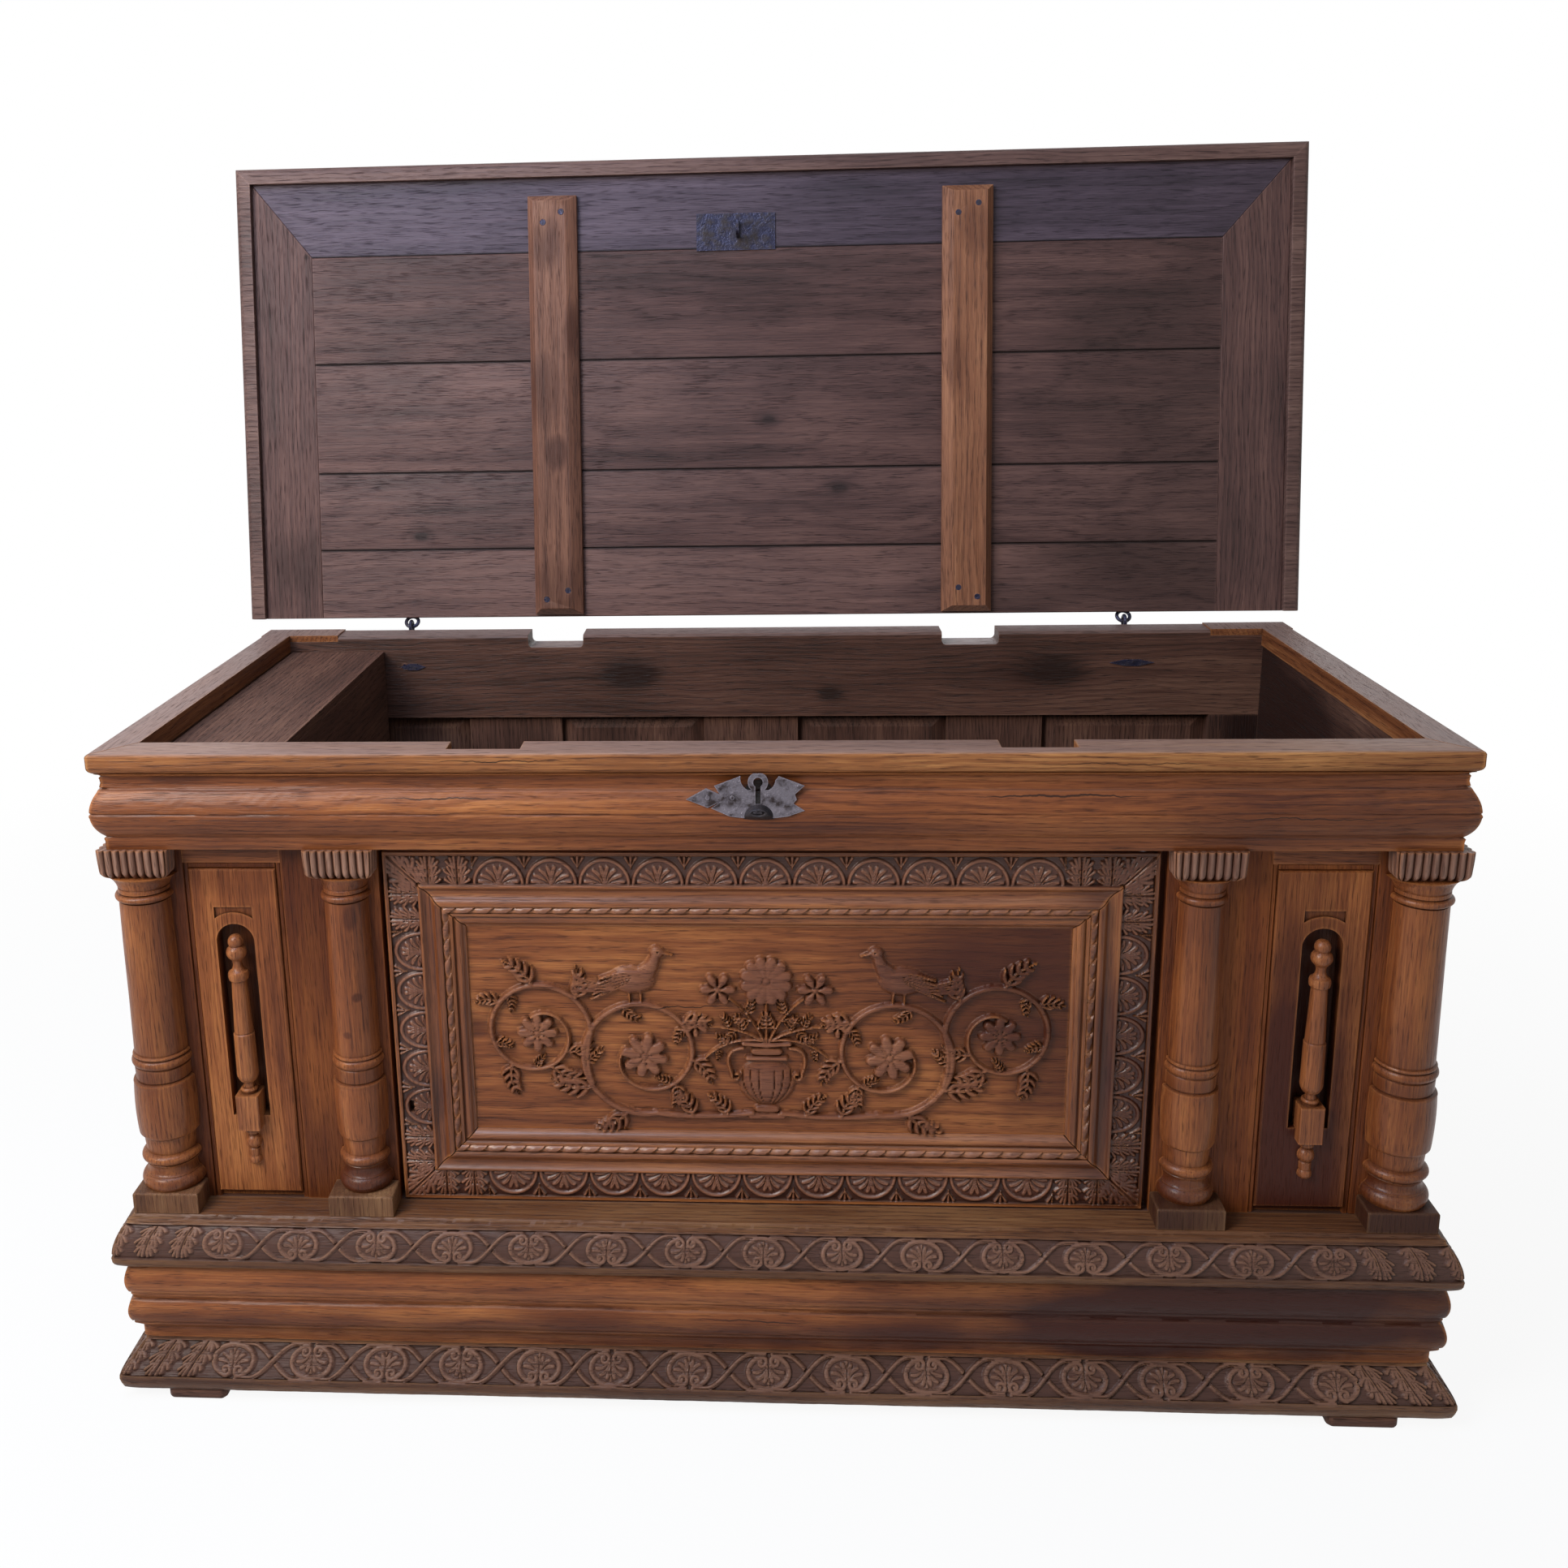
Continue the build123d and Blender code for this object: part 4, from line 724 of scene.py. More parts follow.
class CASSONE_OT_finishes(bpy.types.Operator):
    """Makes the oak and iron finishes and gives one to every node of the frame"""
    bl_idname = "cassone.finishes"
    bl_label = "Finishes"

    def execute(self, context):
        colours = context.scene.cassone_colours
        front, carved, lid, batten, plain, door = (
            tuple(tuple(getattr(colours, kind + part)) for part in ("_dark", "_mid", "_light"))
            for kind in ("oak", "carved", "lid", "batten", "plain", "door"))
        # painted highlight: the capitals' ridges take the sheen colour
        capital = (carved[0], carved[1], tuple(colours.capital_sheen))
        lip = tuple(tuple((v + w) / 2 for v, w in zip(*pair)) for pair in zip(lid, batten))
        for axis in "xy":
            # painted shade: these mouldings are darker at their right end and along the cornice's right,
            # where the light falls off, the broad mark along the double round makes it darker low down, and
            # the keyhole is painted near black for the shade in it; faces that look up get a painted sheen
            FINISHES["oak " + axis] = oak(
                "oak_" + axis, axis, front, tops=0.25, coat=0.1,
                stains_and_shade=((0.58, 0.14, 0.58, 0.10, 1.15), (-0.2, 0.105, 0.9, 0.035, 0.75),
                        (0.62, 0.775, 0.30, 0.025, 0.4), (-0.70, 0.84, 0.04, 0.02, 0.4),
                        (-0.009, 0.812, 0.018, 0.02, 4.0)),
                cracks=((0.24, 0.44, 0.808, 0.0016), (-0.47, -0.30, 0.806, 0.0012),
                        (0.50, 0.72, 0.783, 0.0010), (-0.10, 0.06, 0.122, 0.0010)))
            FINISHES["carved " + axis] = oak(
                "carved_oak_" + axis, axis, scaled(front, 0.54, 0.69, 0.92), carved=carved, rough=0.40,
                stains_and_shade=((0.0, 0.045, 1.9, 0.040, 0.22),))
        # painted shade: the right stile is darker where the light falls off, and faces that look up get a
        # painted sheen
        for axis in "xz":
            FINISHES["door " + axis] = oak(
                "door_oak_" + axis, axis, front, carved=door, rough=0.40, arch=8.0, coat=0.32, tops=0.40,
                steep=0.1, stains_and_shade=((0.47, 0.48, 0.15, 0.38, 1.0), (-0.44, 0.40, 0.03, 0.05, 0.5)))
        for axis in "xyz":
            # painted shade: the inside of the right end is darker where the light falls off
            FINISHES["plain " + axis] = oak(
                "inner_oak_" + axis, axis, plain, rough=0.62, pores=1.2,
                stains_and_shade=((0.79, 0.72, 0.09, 0.26, 0.95), (0.0, 0.60, 0.9, 0.12, 0.3)))
        # painted shade: posts and jambs are a darker copy of the front oak, partly their own darker oak and
        # partly shade beside the columns, with a painted shadow of the outer left column on the left
        FINISHES["post z"] = oak(
            "post_oak", "z", scaled(front, 0.62, 0.50, 0.38), seed=11.0, arch=6.0, rough=0.5, figure=0.06,
            stains_and_shade=((-0.64, 0.50, 0.45, 2.0, 0.5),))
        # painted shade: the right plinths are darker where the light falls off
        FINISHES["plinth z"] = oak(
            "plinth_oak", "z", scaled(front, 0.60, 0.84, 1.25), seed=13.0, arch=6.0, rough=0.5, figure=0.06,
            stains_and_shade=((0.66, 0.27, 0.35, 0.08, 0.85), (-0.516, 0.27, 0.06, 0.03, 0.3)))
        FINISHES["turned z"] = oak(
            "baluster_oak", "z", front, seed=12.0, arch=5.0, figure=0.06, coat=0.2)
        # painted shade: the niches are painted darker with depth, and the right panel darker where the light
        # falls off
        FINISHES["panel z"] = oak(
            "panel_oak", "z", front, seed=3.0, ring=0.006, arch=6.0, figure=0.08,
            hollow=(case_y(36.0), case_y(50.0)),
            stains_and_shade=((0.64, 0.40, 0.12, 0.36, 0.95), (-0.66, 0.70, 0.09, 0.03, 0.3)))
        # painted shade: the right columns are darker where the light falls off; the small marks are stains
        FINISHES["column z"] = oak(
            "turned_oak", "z", scaled(front, 1.0, 0.95, 0.84), seed=5.0, arch=5.0, figure=0.05, coat=0.2,
            stains_and_shade=((-0.507, 0.655, 0.008, 0.017, 0.65), (-0.505, 0.55, 0.006, 0.006, 0.7),
                    (0.52, 0.30, 0.06, 0.03, 0.5), (-0.52, 0.50, 0.006, 0.005, 0.6),
                    (0.77, 0.31, 0.06, 0.03, 0.5), (-0.52, 0.30, 0.05, 0.02, 0.5),
                    (-0.77, 0.55, 0.10, 0.35, 0.35), (0.64, 0.5, 0.30, 0.5, 0.3),
                    (0.0, 0.30, 1.5, 0.030, 0.6), (0.0, 0.44, 1.5, 0.014, 0.35)))
        # painted light: the rim's front is a paler, bluer copy of the front oak, painted as lit with a sheen,
        # and darker at its right end as painted shade
        FINISHES["rim x"] = oak(
            "rim_oak_x", "x", scaled(front, 1.25, 1.55, 1.75), tops=0.7, seed=2.0,
            stains_and_shade=((0.62, 0.85, 0.35, 0.03, 0.3),),
            cracks=((-0.40, -0.22, 0.852, 0.0010), (0.30, 0.52, 0.847, 0.0008)))
        FINISHES["rim y"] = oak("rim_oak_y", "y", scaled(front, 0.75, 0.8, 0.9), tops=0.75, seed=2.5)
        FINISHES["back x"] = oak(
            "back_rail_oak", "x", plain, tops=0.6, seed=7.0, rough=0.5,
            knots=((-0.216, 0.800, 0.022), (0.452, 0.802, 0.024), (0.10, 0.765, 0.010)),
            stains_and_shade=((-0.21, 0.80, 0.05, 0.018, 0.5), (0.43, 0.80, 0.09, 0.03, 0.5)))
        # painted shade: the right part of the lid is darker where the light falls off
        FINISHES["lid x"] = oak(
            "lid_oak_x", "x", lid, lid=True, rough=0.5, seed=1.0, ring=0.007, figure=0.10,
            boards=((case_y(281.7), 0.06), (case_y(457.2), 0.03), (case_y(581.7), 0.13)),
            knots=((0.006, case_y(381.0), 0.010), (0.118, case_y(490.0), 0.012),
                   (-0.56, case_y(560.0), 0.009)),
            stains_and_shade=((0.55, case_y(650.0), 0.35, 0.10, 0.5), (0.75, case_y(300.0), 0.30, 0.5, 0.25),
                    (-0.55, case_y(180.0), 0.35, 0.16, 0.3)))
        # painted reflection: the lid's front board is painted bluer for the cool sky it reflects
        FINISHES["lid front"] = oak(
            "lid_front_oak", "x", scaled(lid, 0.74, 1.0, 1.5), lid=True, rough=0.5, seed=5.5, figure=0.10,
            boards=((case_y(111.7), -0.02),))
        FINISHES["lid y"] = oak(
            "lid_oak_y", "y", scaled(lid, 1.12, 1.1, 1.05), lid=True, rough=0.55, seed=4.0,
            stains_and_shade=((-0.735, case_y(110.0), 0.006, 0.006, 1.0), (-0.717, case_y(182.0), 0.006, 0.006, 1.0),
                    (-0.707, case_y(428.0), 0.006, 0.006, 1.0), (-0.75, case_y(600.0), 0.08, 0.06, 0.4)))
        FINISHES["lid edge"] = oak("lid_edge_oak", "x", scaled(lip, 0.85, 1.0, 1.25), rough=0.5, seed=6.0)
        # painted shade and light: the same batten oak is painted darker on the left batten and paler on the
        # right, to even out the light from the left
        FINISHES["batten left"] = oak(
            "batten_left_oak", "y", scaled(batten, 0.92, 0.92, 1.05), lid=True, rough=0.5, seed=2.0,
            arch=12.0, stains_and_shade=(
                (-0.345, case_y(100.0), 0.03, 0.05, 0.6), (-0.305, case_y(235.0), 0.014, 0.05, 0.7),
                (-0.350, case_y(330.0), 0.03, 0.06, 0.5), (-0.330, case_y(430.0), 0.02, 0.03, 0.7),
                (-0.335, case_y(650.0), 0.04, 0.06, 0.5)))
        FINISHES["batten right"] = oak(
            "batten_right_oak", "y", scaled(batten, 1.22, 1.14, 1.06), lid=True, rough=0.5, seed=2.0,
            arch=12.0, stains_and_shade=((0.33, case_y(90.0), 0.03, 0.05, 0.4), (0.30, case_y(300.0), 0.02, 0.06, 0.4)))
        # painted shade: the panel's right part is darker, partly stain and partly shade where the light falls
        # off
        FINISHES["field"] = oak(
            "door_panel_oak", "x", front, carved=door, seed=8.0, ring=0.009, coat=0.1,
            stains_and_shade=((0.42, 0.54, 0.24, 0.26, 0.85), (0.34, 0.40, 0.07, 0.07, 0.4),
                    (-0.365, 0.50, 0.02, 0.02, 0.7)),
            cracks=((-0.20, -0.02, 0.520, 0.0010),))
        FINISHES["capital z"] = oak("capital_oak", "z", front, carved=capital, seed=9.0, coat=0.2)
        FINISHES["iron"] = ironwork("forged_iron", colours.iron, colours.iron_rust, 0.6)
        FINISHES["dark iron"] = ironwork("dark_iron", colours.iron_dark, colours.iron_rust, 0.2)
        FINISHES["black iron"] = ironwork("black_iron", colours.iron_black, colours.iron_rust, 0.3)
        for key, nodes in NODE_FINISH.items():
            for node in nodes:
                piece = frame["nodes"][node]
                piece.data.materials.clear()
                piece.data.materials.append(FINISHES[key])
        return {"FINISHED"}


# ---------------------------------------------------------------- operators for the carved pieces
# Places of the roundels along the front, as they were spaced by eye, and along each return
LEDGE_CENTRES = (-693, -595, -495, -398, -301, -203, -104, -7, 90, 188, 287, 387, 488, 586, 684)
BASE_CENTRES = (-695, -592, -495, -397, -296, -203, -103, -2, 97, 197, 297, 394, 490, 597, 701)
RETURN_CENTRES = tuple(range(118, 604, 97))


def carved_pieces(name, section, relief, step, centres, scale, flip, finish_x, finish_y):
    """The three lengths of a carved moulding as two pieces, for its front node and its returns node."""
    sheets, heights = carved_moulding(section, relief, step, centres, RETURN_CENTRES, scale, flip)
    carved = section.worked[None, :].astype(float)
    band = [carved + 0 * h for h in heights]
    for end, which, finish in (("_front", slice(0, 1), finish_x), ("_returns", slice(1, 3), finish_y)):
        surface(name.replace("carved_", "") + end + "_carving", sheets[which], "case", finish, (name + end,),
                layers={"relief": heights[which], "band": band[which]})


class CASSONE_OT_ledge(bpy.types.Operator):
    """Carves the ledge moulding with roundels, crossing strands and corner leaves"""
    bl_idname = "cassone.ledge"
    bl_label = "Ledge"

    def execute(self, context):
        sizes = context.scene.cassone_sizes
        under = np.vstack((((-FRAME_FACE, LEDGE_LOW), (14.0, LEDGE_LOW)),
                           arc((15, LEDGE_LOW), (24, 190.5), (29, 198), 6)[1:], ((29.6, 203.5),)))
        face = arc((29.8, 205), (24.5, 228), (13.2, 244.6), 42)
        over = ((12.6, 245.2), (11.9, 246.0), (11.1, 249.6), (10.6, 250.0), (7.0, 250.9), (5.2, 254.6),
                (4.0, LEDGE_TOP), (-FRAME_FACE, LEDGE_TOP))
        section = section_rows(under, face, over)
        carved_pieces("ledge", section, sizes.ledge_relief * 1000, sizes.carving_step * 1000, LEDGE_CENTRES,
                      1.0, 1, FINISHES["carved x"], FINISHES["carved y"])
        return {"FINISHED"}


class CASSONE_OT_base(bpy.types.Operator):
    """Carves the base moulding in the same pattern, larger"""
    bl_idname = "cassone.base"
    bl_label = "Base"

    def execute(self, context):
        sizes = context.scene.cassone_sizes
        under = ((-FRAME_FACE, BASE_LOW), (29.6, BASE_LOW), (31.4, 16.4), (33.9, 24.0), (35.3, 31.0))
        face = arc((35.0, 36.0), (21.5, 53.8), (7.6, 71.0), 46)
        over = ((7.0, 71.8), (6.6, 74.0), (6.5, ROUND_LOW), (-FRAME_FACE, ROUND_LOW))
        section = section_rows(under, face, over)
        carved_pieces("carved_base", section, sizes.base_relief * 1000, sizes.carving_step * 1050,
                      BASE_CENTRES, 1.1, 0, FINISHES["carved x"], FINISHES["carved y"])
        return {"FINISHED"}


CORNICE_LINES = (792.0, 821.0)         # heights of the lines cut along the cornice
ROUND_LINES = (103.0, 137.0, 145.5)    # and of those on the double round
PLAIN_STEP = 2.6                       # distance between the points of a plain moulding


def plain_moulding(name, section, step, lines, nodes, finish_x, finish_y):
    """The three lengths of a plain moulding with lines cut along it, each 1.5 exp(-((z - line) / 1.2)^2)
    deep with a raised lip 0.5 mm high under it."""
    def shape(along, corner, front):
        waver = 0.5 * np.sin(along * 0.013) + 0.3 * np.sin(along * 0.05)
        above = [section.rows[None, :, 1] - line - waver for line in lines]
        taken = sum(1.5 * np.exp(-(far / 1.2) ** 2) - 0.5 * np.exp(-((far + 3) / 1.3) ** 2) for far in above)
        return taken * section.worked[None, :], np.zeros(along.shape)

    sheets = round_case(section, step, shape, 3.0)[0]
    surface(name + "_front", sheets[:1], "case", finish_x, nodes[:1], angle=60.0)
    surface(name + "_returns", sheets[1:], "case", finish_y, nodes[1:], angle=60.0)


class CASSONE_OT_mouldings(bpy.types.Operator):
    """Makes the cornice and the double round above the base, slightly uneven, with their cut lines"""
    bl_idname = "cassone.mouldings"
    bl_label = "Plain mouldings"

    def execute(self, context):
        under = ((-FRAME_FACE, CORNICE_LOW), (-10.3, CORNICE_LOW), (-9.8, 743.6), (-9.8, 753.5),
                 (-9.0, 758.0))
        over = np.vstack((((-10.0, 824.0), (-11.0, 828.0)),
                          arc((-10.8, 829.5), (-9, 836), (-3, CORNICE_TOP), 7),
                          ((-FRAME_FACE, CORNICE_TOP),)))
        cornice = section_rows(under, arc((-8.4, 759.6), (4.5, 791), (-9.4, 822.6), 56), over)
        plain_moulding("worn_cornice", cornice, PLAIN_STEP, CORNICE_LINES,
                       ("cornice_front", "cornice_returns"), FINISHES["oak x"], FINISHES["oak y"])
        under = ((-FRAME_FACE, ROUND_LOW), (8.2, ROUND_LOW), (8.5, 77.2), (8.5, 91.4), (8.9, 92.4))
        rounds = np.vstack((arc((14, 98.2), (21.5, 117.7), (16.5, 135.5), 26),
                            ((15.6, 137.2), (14.8, 138.5), (15.0, 140.2)),
                            arc((15.5, 142), (21.7, 165), (14, 187.0), 30)))
        double = section_rows(under, rounds, ((13.6, LEDGE_LOW), (-FRAME_FACE, LEDGE_LOW)))
        plain_moulding("worn_round", double, PLAIN_STEP, ROUND_LINES,
                       ("plinth_moulding_front", "plinth_moulding_returns"), FINISHES["oak x"],
                       FINISHES["oak y"])
        return {"FINISHED"}


SHARP_ANGLE, BEVEL_ANGLE = 35, 38      # degrees past which an edge looks sharp, and past which it is rounded
RIM_WIDEN = 1.9                        # how many times wider the rounding under the rim is worn
# Each worn node: how wide its edges are rounded, in metres
WORN = {
    "top_frame_front": 0.0012, "top_frame_left": 0.0012, "top_frame_right": 0.0012, "back_top_rail": 0.0020,
    "column_plinths": 0.0022, "lid_edge_mouldings": 0.0040, "batten_left": 0.0016, "batten_right": 0.0016,
    "till_lid": 0.0014, "till_front": 0.0014, "feet": 0.0040, "front_posts": 0.0012, "escutcheon": 0.0006,
    "lid_boards": 0.0009, "lid_end_boards": 0.0009, "lid_front_board": 0.0009, "lid_keep": 0.0006}


RIM_LOW = 0.840            # the rim's lower plane, in metres
RIM_ROUNDING = 0.005       # radius of the rounding of its lower edge
CLOSE = 0.0001             # slack when points are picked out by their place


def widen_rounding(mesh, times):
    """Widens the rounding under the rim's outer edge: there the distances from its lower plane and from its
    front and end planes are multiplied."""
    reach = RIM_ROUNDING + CLOSE
    point = np.empty(len(mesh.vertices) * 3, np.float32)
    mesh.vertices.foreach_get("co", point)
    point = point.reshape(-1, 3)
    inward = np.stack((RIM_HALF / 1000 - np.abs(point[:, 0]), point[:, 1] - FRONT_Y), -1)
    low = (point[:, 2] < RIM_LOW + reach) & (inward.min(1) < reach)
    wider = np.where(low[:, None] & (inward < reach), inward * times, inward)
    point[:, 0] = np.sign(point[:, 0]) * (RIM_HALF / 1000 - wider[:, 0])
    point[:, 1] = FRONT_Y + wider[:, 1]
    point[:, 2] = np.where(low, RIM_LOW + (point[:, 2] - RIM_LOW) * times, point[:, 2])
    mesh.vertices.foreach_set("co", point.ravel())
    mesh.update()


class CASSONE_OT_worn_edges(bpy.types.Operator):
    """Rounds the worn edges of plain boards, on merged copies of their nodes"""
    bl_idname = "cassone.worn_edges"
    bl_label = "Worn edges"

    def execute(self, context):
        for node, width in WORN.items():
            source = frame["nodes"][node]
            mesh = source.data.copy()
            mesh.name = "worn_" + node
            shape = bmesh.new()
            shape.from_mesh(mesh)
            bmesh.ops.remove_doubles(shape, verts=shape.verts, dist=2e-6)
            bmesh.ops.dissolve_limit(shape, angle_limit=0.01, verts=shape.verts, edges=shape.edges)
            shape.to_mesh(mesh)
            shape.free()
            if node.startswith("top_frame"):
                widen_rounding(mesh, RIM_WIDEN)
            mesh.shade_smooth()
            mesh.set_sharp_from_angle(angle=math.radians(SHARP_ANGLE))
            piece = bpy.data.objects.new("worn_" + node, mesh)
            context.scene.collection.objects.link(piece)
            bevel = piece.modifiers.new("worn edges", "BEVEL")
            bevel.width = width
            bevel.segments = 3
            bevel.limit_method = "ANGLE"
            bevel.angle_limit = math.radians(BEVEL_ANGLE)
            bevel.use_clamp_overlap = True
            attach(piece, source["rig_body"])
            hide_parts(node)
        return {"FINISHED"}


LIP_X, LIP_LOW, LIP_HIGH = -8.0, 786.0, 798.0      # the keyhole lip's middle, foot and mouth
LIP_RADIUS, MOUTH_RADIUS, BORE_RADIUS = 20.5, 9.0, 7.4


class CASSONE_OT_socket(bpy.types.Operator):
    """Makes the hollow half-round lip under the keyhole. Its outside runs from a broad foot on the plate to
    the rim of its mouth, bulging out as sin^1.3, and its bore goes back from there"""
    bl_idname = "cassone.socket"
    bl_label = "Keyhole lip"

    def execute(self, context):
        t = np.linspace(0, 2 * np.pi, 56, endpoint=False)[None, :]
        s = np.linspace(0, 1, 12)[:, None]
        foot_x = LIP_RADIUS * np.cos(t)
        foot_z = LIP_LOW + 20.0 * np.maximum(np.sin(t), 0) + 1.5 * np.minimum(np.sin(t), 0)
        rim_x, rim_z = MOUTH_RADIUS * np.cos(t) - 1.0, LIP_HIGH + 3.8 * np.sin(t)
        share = s ** 0.8
        depth = -3.0 - 12.0 * np.sin(s * np.pi / 2) ** 1.3
        outer = np.stack((foot_x + (rim_x - foot_x) * share, depth + 0 * t,
                          foot_z + (rim_z - foot_z) * share), -1)
        inner = np.stack((BORE_RADIUS * np.cos(t) - 1.0 + 0 * s, -14.2 + 9.0 * s + 0 * t,
                          LIP_HIGH + 2.8 * np.sin(t) - 1.5 * s), -1)
        lip = np.vstack((outer, inner)) + np.array((LIP_X, 0.0, 0.0))
        surface("keyhole_lip", [lip], "case", FINISHES["black iron"], (), angle=50.0)
        return {"FINISHED"}


DOOR_HALF = (467.5, 237.0)     # half the door's length and height
DOOR_MIDDLE = (-1.5, 494.0)
DOOR_BACK = 65.0
BAND = (5.0, 42.0, 33.5)       # the carved band: from and to, in from the door's edge, and its plane
FIELD_IN = 98.0                # where the panel begins, in from the door's edge
LOCK_RECESS = 44.0             # width of the recess for the lock, in from the door's edge
LOCK_HEIGHT = 387.5            # of its middle; the keyhole is 0.5 higher
DOOR_NODES = (("door_bottom_rail", 0, -1), ("door_stile_hinge", 1, 1), ("door_top_rail", 0, 1),
              ("door_stile_lock", 1, -1))      # each with its axis and side, as in door_points


def door_points(axis, side, inward, along, y):
    """Points of one member of the door's frame: axis is 0 for a rail and 1 for a stile, side -1 or 1, inward
    the distance in from the door's edge and along the distance from the member's middle."""
    across = DOOR_MIDDLE[1 - axis] + side * (DOOR_HALF[1 - axis] - inward[None, :]) + 0 * along
    run_along = DOOR_MIDDLE[axis] + along
    x, z = (run_along, across) if axis == 0 else (across, run_along)
    return np.stack((x, y, z), -1)


def arch_and_palmette(carving, pitch):
    """Half of an arch with a palmette in it: a half ellipse, lobes that fan from its foot with turned tips,
    and half of the small leaf that stands between two arches."""
    half = pitch / 2
    t = np.radians(np.linspace(0, 90, 14))
    carving.dome((0, 0), (half - 3, 31.0), 0.4, 0.2)
    reach = (half - 6.6) / 24.0
    for path in (((0.9, 1.0), (0.8, 14), (3.8, 22.6)), ((2.2, 1.0), (4.2, 13.5), (12.0, 18.6)),
                 ((3.4, 1.0), (9.0, 9.4), (18.6, 11.8)), ((4.6, 0.6), (12.0, 3.0), (21.4, 3.4))):
        carving.lobe(bend(*path) * (reach, 1.0), (1.2, 2.2, 3.6, 3.4), 0.95, 0.26)
    carving.dome((0, 1), (4.6, 5.4), 1.0)
    carving.ridge(np.stack(((half - 2.8) * np.cos(t), 0.5 + 31.4 * np.sin(t)), -1), (2.8, 3.2), 1.0, 1.4)
    for foot, tip in (((half, 20), (half, 35)), ((half - 0.5, 23), (half - 6.5, 34.5))):
        carving.ridge((foot, tip), (0.9, 2.8), 0.85)


def door_band(along, inward, half, count, pitch):
    """Heights of the door's carved band. along runs from the member's middle, inward from the door's edge;
    b is the distance out from the band's inner edge. Arches stand along the middle, then two upright
    leaves, and a leaf lies on the mitre: there a = (edge - inward) / root 2, b = (edge + inward) / root 2."""
    b = BAND[1] - inward
    number = np.clip(np.rint(along / pitch + (count - 1) / 2), 0, count - 1) - (count - 1) / 2
    arches = Carving(np.abs(along - number * pitch), b)
    arch_and_palmette(arches, pitch)
    reach = half - count * pitch / 2
    edge = half - np.abs(along)
    mitre = Carving(np.abs(edge - inward) * 0.7071, (edge + inward) * 0.7071 - 33.0)
    hanging_leaf(mitre, 1.25)
    pitch_leaf = (reach - 38.0) / 2
    number = np.clip(np.rint((reach - edge) / pitch_leaf - 0.5), 0, 1)
    upright = Carving(np.abs(reach - edge - (number + 0.5) * pitch_leaf), 18.5 - b)
    hanging_leaf(upright, 0.95)
    return np.where(edge < reach, np.maximum(mitre.height, upright.height), arches.height)


class CASSONE_OT_door_frame(bpy.types.Operator):
    """Makes the four mitred members of the door's frame with their mouldings and carved band"""
    bl_idname = "cassone.door_frame"
    bl_label = "Door frame"

    def execute(self, context):
        sizes = context.scene.cassone_sizes
        relief, step = sizes.door_relief * 1000, sizes.carving_step * 1000
        band = np.stack((np.linspace(BAND[0], BAND[1], 40), np.full(40, BAND[2])), -1)
        outer = ((0.0, DOOR_BACK), (0.0, 36.0), (0.9, 35.0), (4.6, 35.0))
        inner = np.vstack((
            ((42.6, 32.0), (43.4, 31.5), (45.4, 31.5)), arc((46, 31.9), (52, 36), (60, 33.5), 9),
            arc((60.6, 32.6), (64, 29.8), (68, 29.5), 6),
            ((69.7, 30.4), (70, 34), (79, 34), (79.5, 32.5), (82.7, 32.5), (83.2, 33.0), (83.5, 36)),
            arc((84.4, 36), (90, 34.5), (95, 39), 7),
            ((97.9, 40.0), (FIELD_IN, DOOR_BACK), (LOCK_RECESS + 0.02, DOOR_BACK), (LOCK_RECESS, DOOR_BACK))))
        section = section_rows(outer, band, inner)
        carved, margin = section.worked, face_margin(section)
        cushion = 0.9 * (section.distance / section.run * 2 - 1) ** 2 * carved
        inward, face = section.rows[:, 0], section.rows[:, 1] + cushion
        for node, axis, side in DOOR_NODES:
            half = DOOR_HALF[axis]
            u = np.linspace(-1, 1, int(2 * half / step))
            joint = 0.25 + 0.75 * smooth((inward[None, :] - 30) / 20)
            along = u[:, None] * (half - inward[None, :] - joint)
            count, pitch = ((11, 65.0), (5, 53.0))[axis]
            heights = door_band(along, inward[None, :] + 0 * along, half, count, pitch)
            heights = np.where(carved[None, :], heights, 1.0)
            y = face[None, :] + relief * (1 - heights) * margin[None, :]
            if node == "door_stile_lock":
                rise = along + DOOR_MIDDLE[1] - LOCK_HEIGHT
                key = (np.abs(inward[None, :] - 17.0) < 2.6) & (np.abs(rise - 0.5) < 7.2) & carved[None, :]
                y = np.where(key, 47.0, y)
                heights = np.where(key, 0.0, heights)
                recess = (inward[None, :] <= LOCK_RECESS) & (np.abs(rise) < 32.5)
                y = np.where(recess & (y > 60.0), 48.0, y)
            finish = FINISHES["door x" if axis == 0 else "door z"]
            surface("carved_" + node, [door_points(axis, side, inward, along, y)], "door", finish, (node,),
                    layers={"relief": [heights], "band": [carved[None, :] + 0.0 * heights]})
        return {"FINISHED"}


